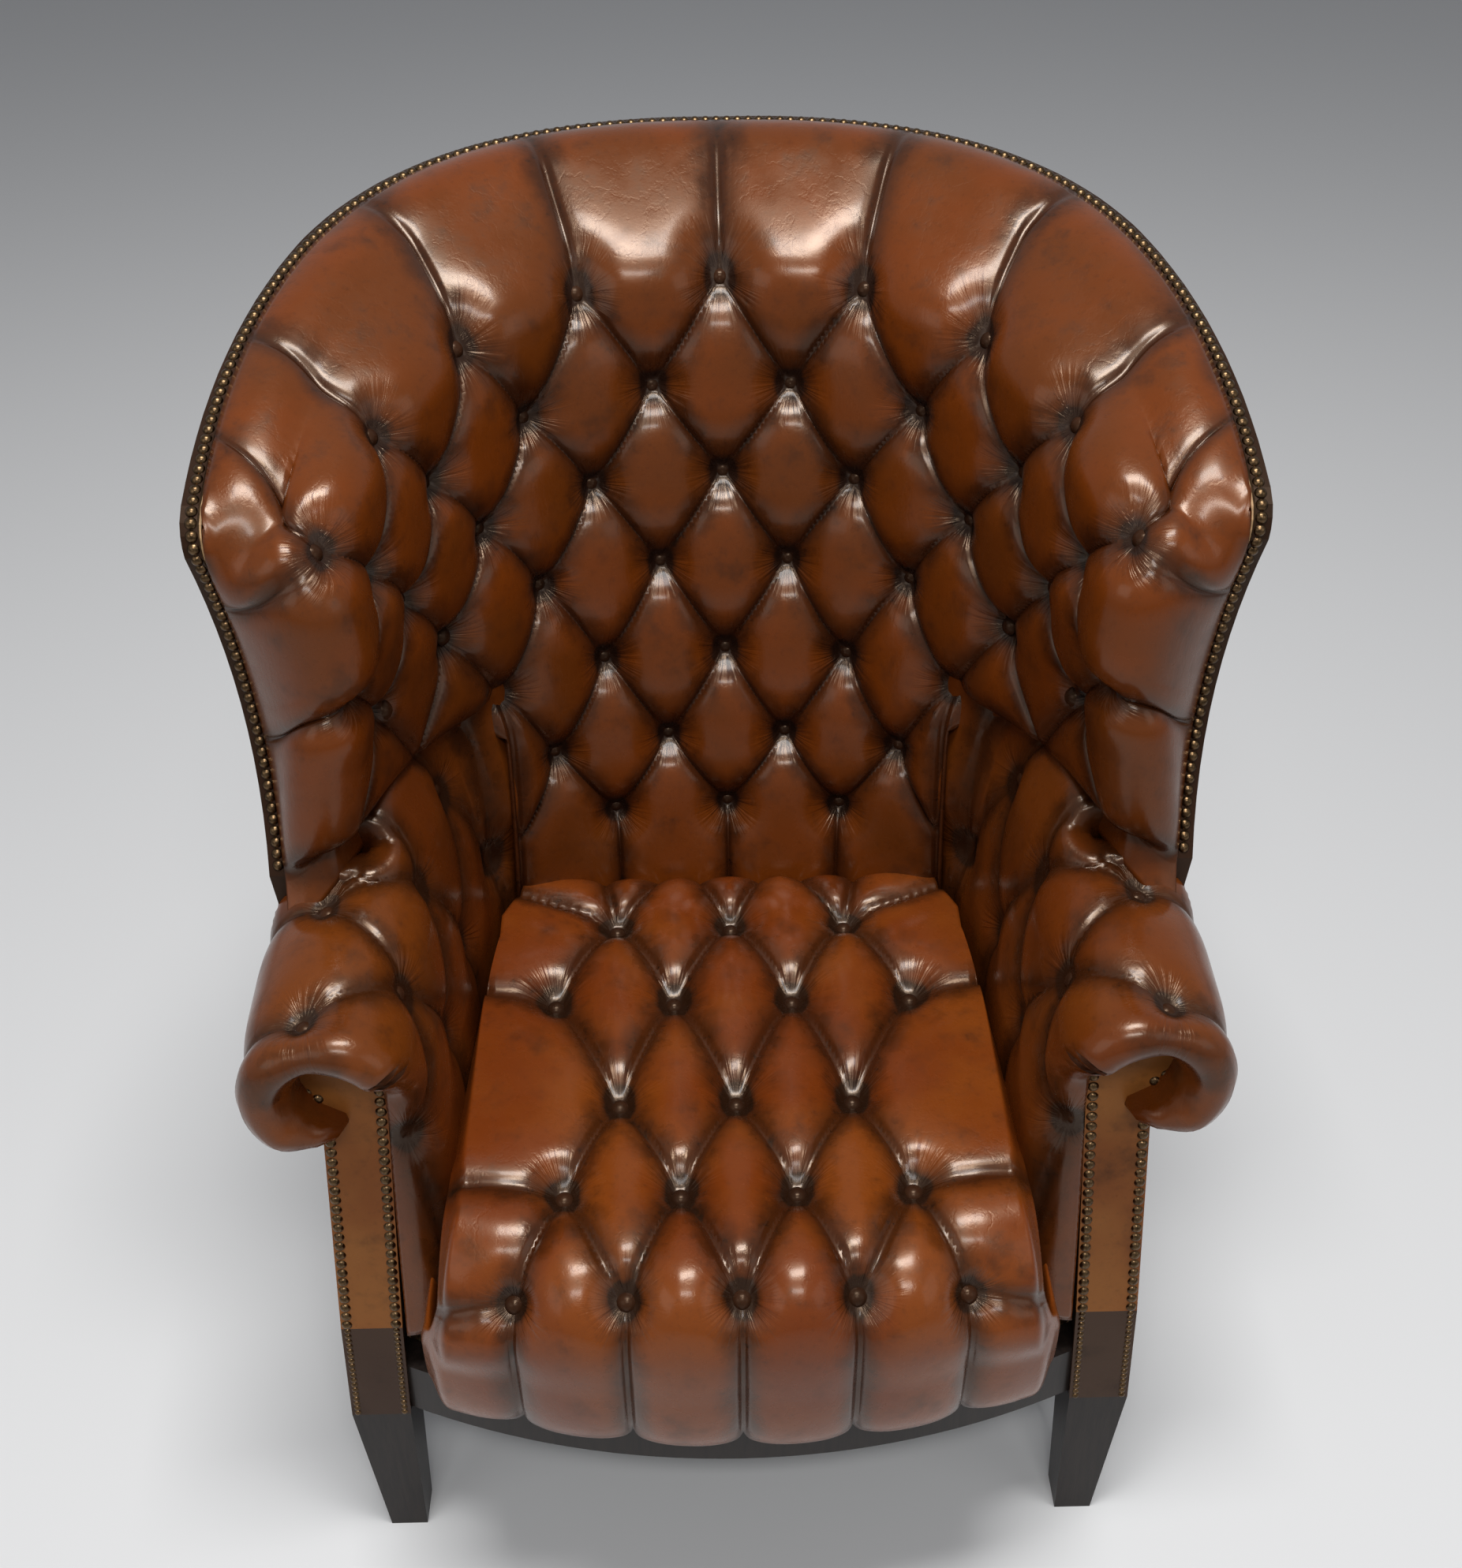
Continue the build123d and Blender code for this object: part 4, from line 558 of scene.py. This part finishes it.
for side in ("left", "right"):
    arm, t, q = leather_sheet("inside_arm_leather_" + side, 104, 129, (-face_cells, 65), (0, 1))
    t = np.where(t < 0, t / face_cells, t / row_cells) + 1
    front, nose, round_to = arm_front(t)
    low = front + nose * (1 - round_to) - 32 * eased(t, 1.9, 2.2)
    q = low + (rear - low) * q
    place, swell, turn = arm_place(t, q)
    soft, pleat, button, spoke, seed = tufts(t, q, arm_metric, arm_lines, arm_buttons)
    lift = pillow(soft, pleat, button, 16, 40) * (1 - eased(t, 4.5, 5)) * (1 - eased(-t, -0.4, 0))
    over = eased(t, 1.6, 2.2)
    lift *= (1 - over) * np.cos(np.minimum(turn, 1.5)) + over * (1 - 0.6 * eased(turn, 1.3, 2.3))
    lift *= 1 - 0.75 * eased(q, 70, 105)
    place += swell * lift[:, None]
    if side == "left":
        place[:, 0] *= -1
    # A crescent of painted shade where the roll turns in at the front: there the colour counts as near a pleat.
    nose_shade = eased(turn, 0, 0.8) * (1 - eased(turn, 2, 2.6)) * eased(t, 2.2, 2.6) * (1 - eased(t, 3.8, 4.4))
    note(arm, np.minimum(pleat, shaded_mm + 40 * (1 - nose_shade)), button, spoke, seed)
    keep = (t < 3.55 - 0.72 * eased(q, 40, 90)) | (q < -96)
    lay(arm, place, keep, hide if side == "left" else -hide)
    paint(arm, arm_leather)
    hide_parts("inside_arm_" + side)
    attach(arm, "root")


# The seat: redder hide over springs and stuffing, bowed at the front. Five straight pleats fall from
# the front buttons over the nose to the rail; behind them the buttons lie in offset rows.
seat_rows = (-2.3, -1.6, -1, 0, 1, 2, 3, 4, 4.9, 5.3)
seat_ys = (-361, -391, -398, -388, -293, -194, -70, 32, 94, 122)
seat_zs = (250.3, 305, 362, 455, 466, 470, 474, 476, 470, 447)
seat_pitches = (91.5, 91.5, 91.5, 91.5, 97, 102, 110, 111, 100, 72)
seat_edges = (264, 270, 269, 250, 244, 240, 234, 216, 172, 116)


def seat_place(s, v):
    """The seat's leather at its buttons: s counts columns from the centre, v rows back from the front one."""
    y, z = flowing(v, seat_rows, seat_ys), flowing(v, seat_rows, seat_zs)
    pitch_mm, edge = np.interp(v, seat_rows, seat_pitches), np.interp(v, seat_rows, seat_edges)
    column, top, outer = np.abs(s), eased(v, -1, 0), 0.9
    beyond = 2 * pitch_mm + (edge - 2 * pitch_mm) * np.minimum(column - 2, outer) / outer
    x = np.where(column < 2, column * pitch_mm, beyond)
    bow = 58 * (x**2 - 45.75**2) / 290**2 * (1 - 0.2 * top) * (1 - eased(v, 0, 1))
    over = np.maximum(column - 2 - outer, 0) * 230
    return np.stack([np.sign(s) * x, y + bow + over * (1 - top), z - bow * 1.3 * top - over * top], axis=1)


def seat_metric(s, v):
    """The seat's counts in millimetres of leather."""
    column_mm, row_mm = 100, 92
    return np.asarray(s, dtype=float) * column_mm, np.asarray(v, dtype=float) * row_mm


seat_buttons = [(c, 0) for c in range(-2, 3)]
seat_buttons += [(c, r) for r in (1, 3) for c in (-1.5, -0.5, 0.5, 1.5)] + [(c, r) for r in (2, 4) for c in (-1, 0, 1)]
seat_lines = [(c, 0, c, -2.6) for c in range(-2, 3)]
for c, r in seat_buttons:
    seat_lines += [(c, r, c + step, r + 1) for step in (-0.5, 0.5) if (c + step, r + 1) in seat_buttons]
for side in (-1, 1):
    seat_lines += [(side * 2, 0, side * 3.4, -0.1), (side * 1.5, 1, side * 3.4, 1.1)]
    seat_lines += [(side * 1.5, 3, side * 3.4, 3.1), (side, 4, side * 2.3, 4.7)]
    seat_lines += [(side, 4, side * 1.4, 5.4), (side, 4, side * 0.5, 5.4)]
seat_lines += [(0, 4, -0.5, 5.4), (0, 4, 0.5, 5.4)]
seat, s, v = leather_sheet("seat_leather", 240, 138, (-10 / 3, 10 / 3), (-7 / 3, 16 / 3))
place, normal = seat_place(s, v), normals_of(seat_place, s, v)
soft, pleat, button, spoke, seed = tufts(s, v, seat_metric, seat_lines, seat_buttons)
lift = pillow(soft, pleat, button, 25, 46) * (1 - eased(-v, 1.5, 2.3) * 0.75) * (1 - eased(v, 4.7, 5.3))
lift *= 1 - eased(np.abs(s), 2.6, 2.95)
note(seat, pleat, button, spoke, seed)
lay(seat, place + normal * lift[:, None])
seat_leather = leather("cognac_seat_leather", light=(0.15, 0.034, 0.004), warm=(0.12, 0.023, 0.003),
                       dark=(0.014, 0.005, 0.002))
paint(seat, seat_leather)
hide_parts("seat_cushion")
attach(seat, "root")


# The plain leather: the covered buttons, darker than the hide, the outside of the back and arms,
# the dark band under the nails, the tan facings and the lower leg panels.
plain_leathers = {
    "button_leather": ((0.03, 0.011, 0.005), (0.02, 0.008, 0.004), (0.008, 0.004, 0.002), 0.27,
                       ("seat_buttons", "back_buttons", "arm_buttons_left", "arm_buttons_right")),
    "outside_leather": ((0.07, 0.02, 0.006), (0.05, 0.014, 0.004), (0.015, 0.005, 0.003), 0.35,
                        ("outside_back", "outside_arm_left", "outside_arm_right")),
    "band_leather": ((0.022, 0.01, 0.006), (0.016, 0.007, 0.004), (0.006, 0.003, 0.002), 0.3, ("rim_band",)),
    "facing_leather": ((0.22, 0.08, 0.018), (0.17, 0.05, 0.01), (0.02, 0.008, 0.004), 0.3,
                       ("arm_facing_left", "arm_facing_right")),
    "leg_panel_leather": ((0.04, 0.018, 0.009), (0.03, 0.012, 0.006), (0.01, 0.005, 0.003), 0.33,
                          ("leg_panel_left", "leg_panel_right")),
}
for name, (light, warm, dark, rough, pieces) in plain_leathers.items():
    untufted = leather(name, light, warm, dark, tufted=False, rough=rough)
    for piece in pieces:
        paint(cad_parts[piece], untufted)


# The timber: dark stained legs and front rail, and the pale frame that the leather hides. The
# grain is a noise drawn out along the wood.
def plain(name, colour, rough, metal=0.0, speckle=0.0, scale=60.0, stretch=(1, 1, 1)):
    """A material of one colour broken by darker streaks or specks."""
    material = bpy.data.materials.new(name)
    material.use_nodes = True
    tree = material.node_tree
    shader = tree.nodes["Principled BSDF"]
    shader.inputs["Roughness"].default_value = rough
    shader.inputs["Metallic"].default_value = metal
    shader.inputs["Specular IOR Level"].default_value = 0.25
    if speckle:
        place = node(tree, "TexCoord").outputs["Object"]
        place = node(tree, "Mapping", ("Vector", place), ("Scale", stretch)).outputs[0]
        grain = noise(tree, place, scale, 5, 0.6)
        dark = tuple(c * (1 - speckle) for c in colour)
        mottled = mixed(tree, ranged(tree, grain, 0.35, 0.7, 0, 1), (*colour, 1), (*dark, 1))
        tree.links.new(mottled, shader.inputs["Base Color"])
        bump = node(tree, "Bump", ("Height", grain), ("Strength", 0.25), ("Distance", 0.0006))
        tree.links.new(bump.outputs[0], shader.inputs["Normal"])
    else:
        shader.inputs["Base Color"].default_value = (*colour, 1)
    return material


stained = plain("stained_wood", (0.014, 0.009, 0.007), 0.4, 0, 0.5, 40, (6, 6, 0.6))
for name in ("front_leg_left", "front_leg_right", "rear_leg_left", "rear_leg_right", "front_rail"):
    paint(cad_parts[name], stained)
pale = plain("frame_wood", (0.42, 0.26, 0.13), 0.6, 0, 0.3, 30, (1, 6, 6))
for name in ("side_rail_left", "side_rail_right", "back_rail", "corner_blocks", "rail_dowels", "arm_rail_left",
             "arm_rail_right", "wing_rail_left", "wing_rail_right", "wing_post_left", "wing_post_right",
             "back_hoop", "back_slats"):
    paint(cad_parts[name], pale)


# The nails: domed, lacquered brass that has gone brown in specks. All the rows have the same
# metal, on the rim, the facings and the lower panels.
brass = plain("antique_brass", (0.13, 0.08, 0.04), 0.28, 1, 0.6, 300)
for name in ("rim_nails", "facing_nails_left", "facing_nails_right", "panel_nails_left", "panel_nails_right"):
    paint(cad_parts[name], brass)


# What the leather hides: webbing, springs, hessian, stuffing, screws and the black cloth under the
# seat. The photograph shows none of it, so the materials are the usual ones of the trade.
hidden = {
    "seat_webbing_long": plain("jute_webbing", (0.36, 0.25, 0.13), 0.9, 0, 0.4, 300),
    "seat_hessian": plain("hessian", (0.4, 0.29, 0.16), 0.95, 0, 0.4, 500),
    "seat_springs": plain("spring_steel", (0.3, 0.3, 0.3), 0.35, 1),
    "seat_stuffing": plain("stuffing", (0.33, 0.25, 0.17), 1.0, 0, 0.5, 120),
    "dust_cover": plain("lining_cloth", (0.02, 0.02, 0.02), 0.95, 0, 0.3, 400),
}
for name, material in hidden.items():
    paint(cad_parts[name], material)
paint(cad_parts["seat_webbing_cross"], hidden["seat_webbing_long"])
paint(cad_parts["back_hessian"], hidden["seat_hessian"])
paint(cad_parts["corner_screws"], hidden["seat_springs"])


# The studio: a pale floor under a white surround, a big soft light overhead, a strip in front of it
# for the highlights at the top of the pads, and two weak ones at the front corners.
bpy.ops.object.select_all(action="DESELECT")
bpy.ops.mesh.primitive_plane_add(size=30)
floor = bpy.context.object
floor.name = floor.data.name = "floor"
paint(floor, plain("floor", (0.62, 0.62, 0.62), 0.8))


def soft_light(name, place, size, power):
    """A rectangular lamp that faces the middle of the chair."""
    chair_middle = Vector((0, 0, 0.6))
    light = bpy.data.lights.new(name, "AREA")
    light.shape = "RECTANGLE"
    light.size, light.size_y = size
    light.energy = power
    lamp = bpy.data.objects.new(name, light)
    lamp.matrix_world = (chair_middle - Vector(place)).to_track_quat("-Z", "Y").to_matrix().to_4x4()
    lamp.location = place
    bpy.context.scene.collection.objects.link(lamp)


soft_light("overhead", (0.1, -0.7, 4.6), (1.9, 0.8), 172)
soft_light("front_strip", (0, -2.7, 4.0), (1.8, 0.45), 65)
soft_light("front_left", (-3.0, -2.6, 2.6), (2.4, 2.0), 18)
soft_light("front_right", (3.0, -2.2, 2.4), (2.0, 2.0), 12)

# The camera sees the world white, reflections see part of that, and it lights the chair only dimly.
white_in_gloss, dim_strength = 0.3, 0.2
world = bpy.data.worlds.new("studio")
bpy.context.scene.world = world
world.use_nodes = True
sky = world.node_tree
sky.nodes.clear()
rays = node(sky, "LightPath")
seen = sums(sky, "MAXIMUM", rays.outputs["Is Camera Ray"], rays.outputs["Is Transmission Ray"])
seen = sums(sky, "MAXIMUM", seen, sums(sky, "MULTIPLY", rays.outputs["Is Glossy Ray"], white_in_gloss))
dim = node(sky, "Background", ("Color", (0.9, 0.93, 1, 1)), ("Strength", dim_strength))
white = node(sky, "Background", ("Color", (1, 1, 1, 1)), ("Strength", 1.0))
pick = node(sky, "MixShader", (0, seen), (1, dim.outputs[0]), (2, white.outputs[0]))
node(sky, "OutputWorld", ("Surface", pick.outputs[0]))
bpy.context.scene.view_settings.view_transform = "Standard"
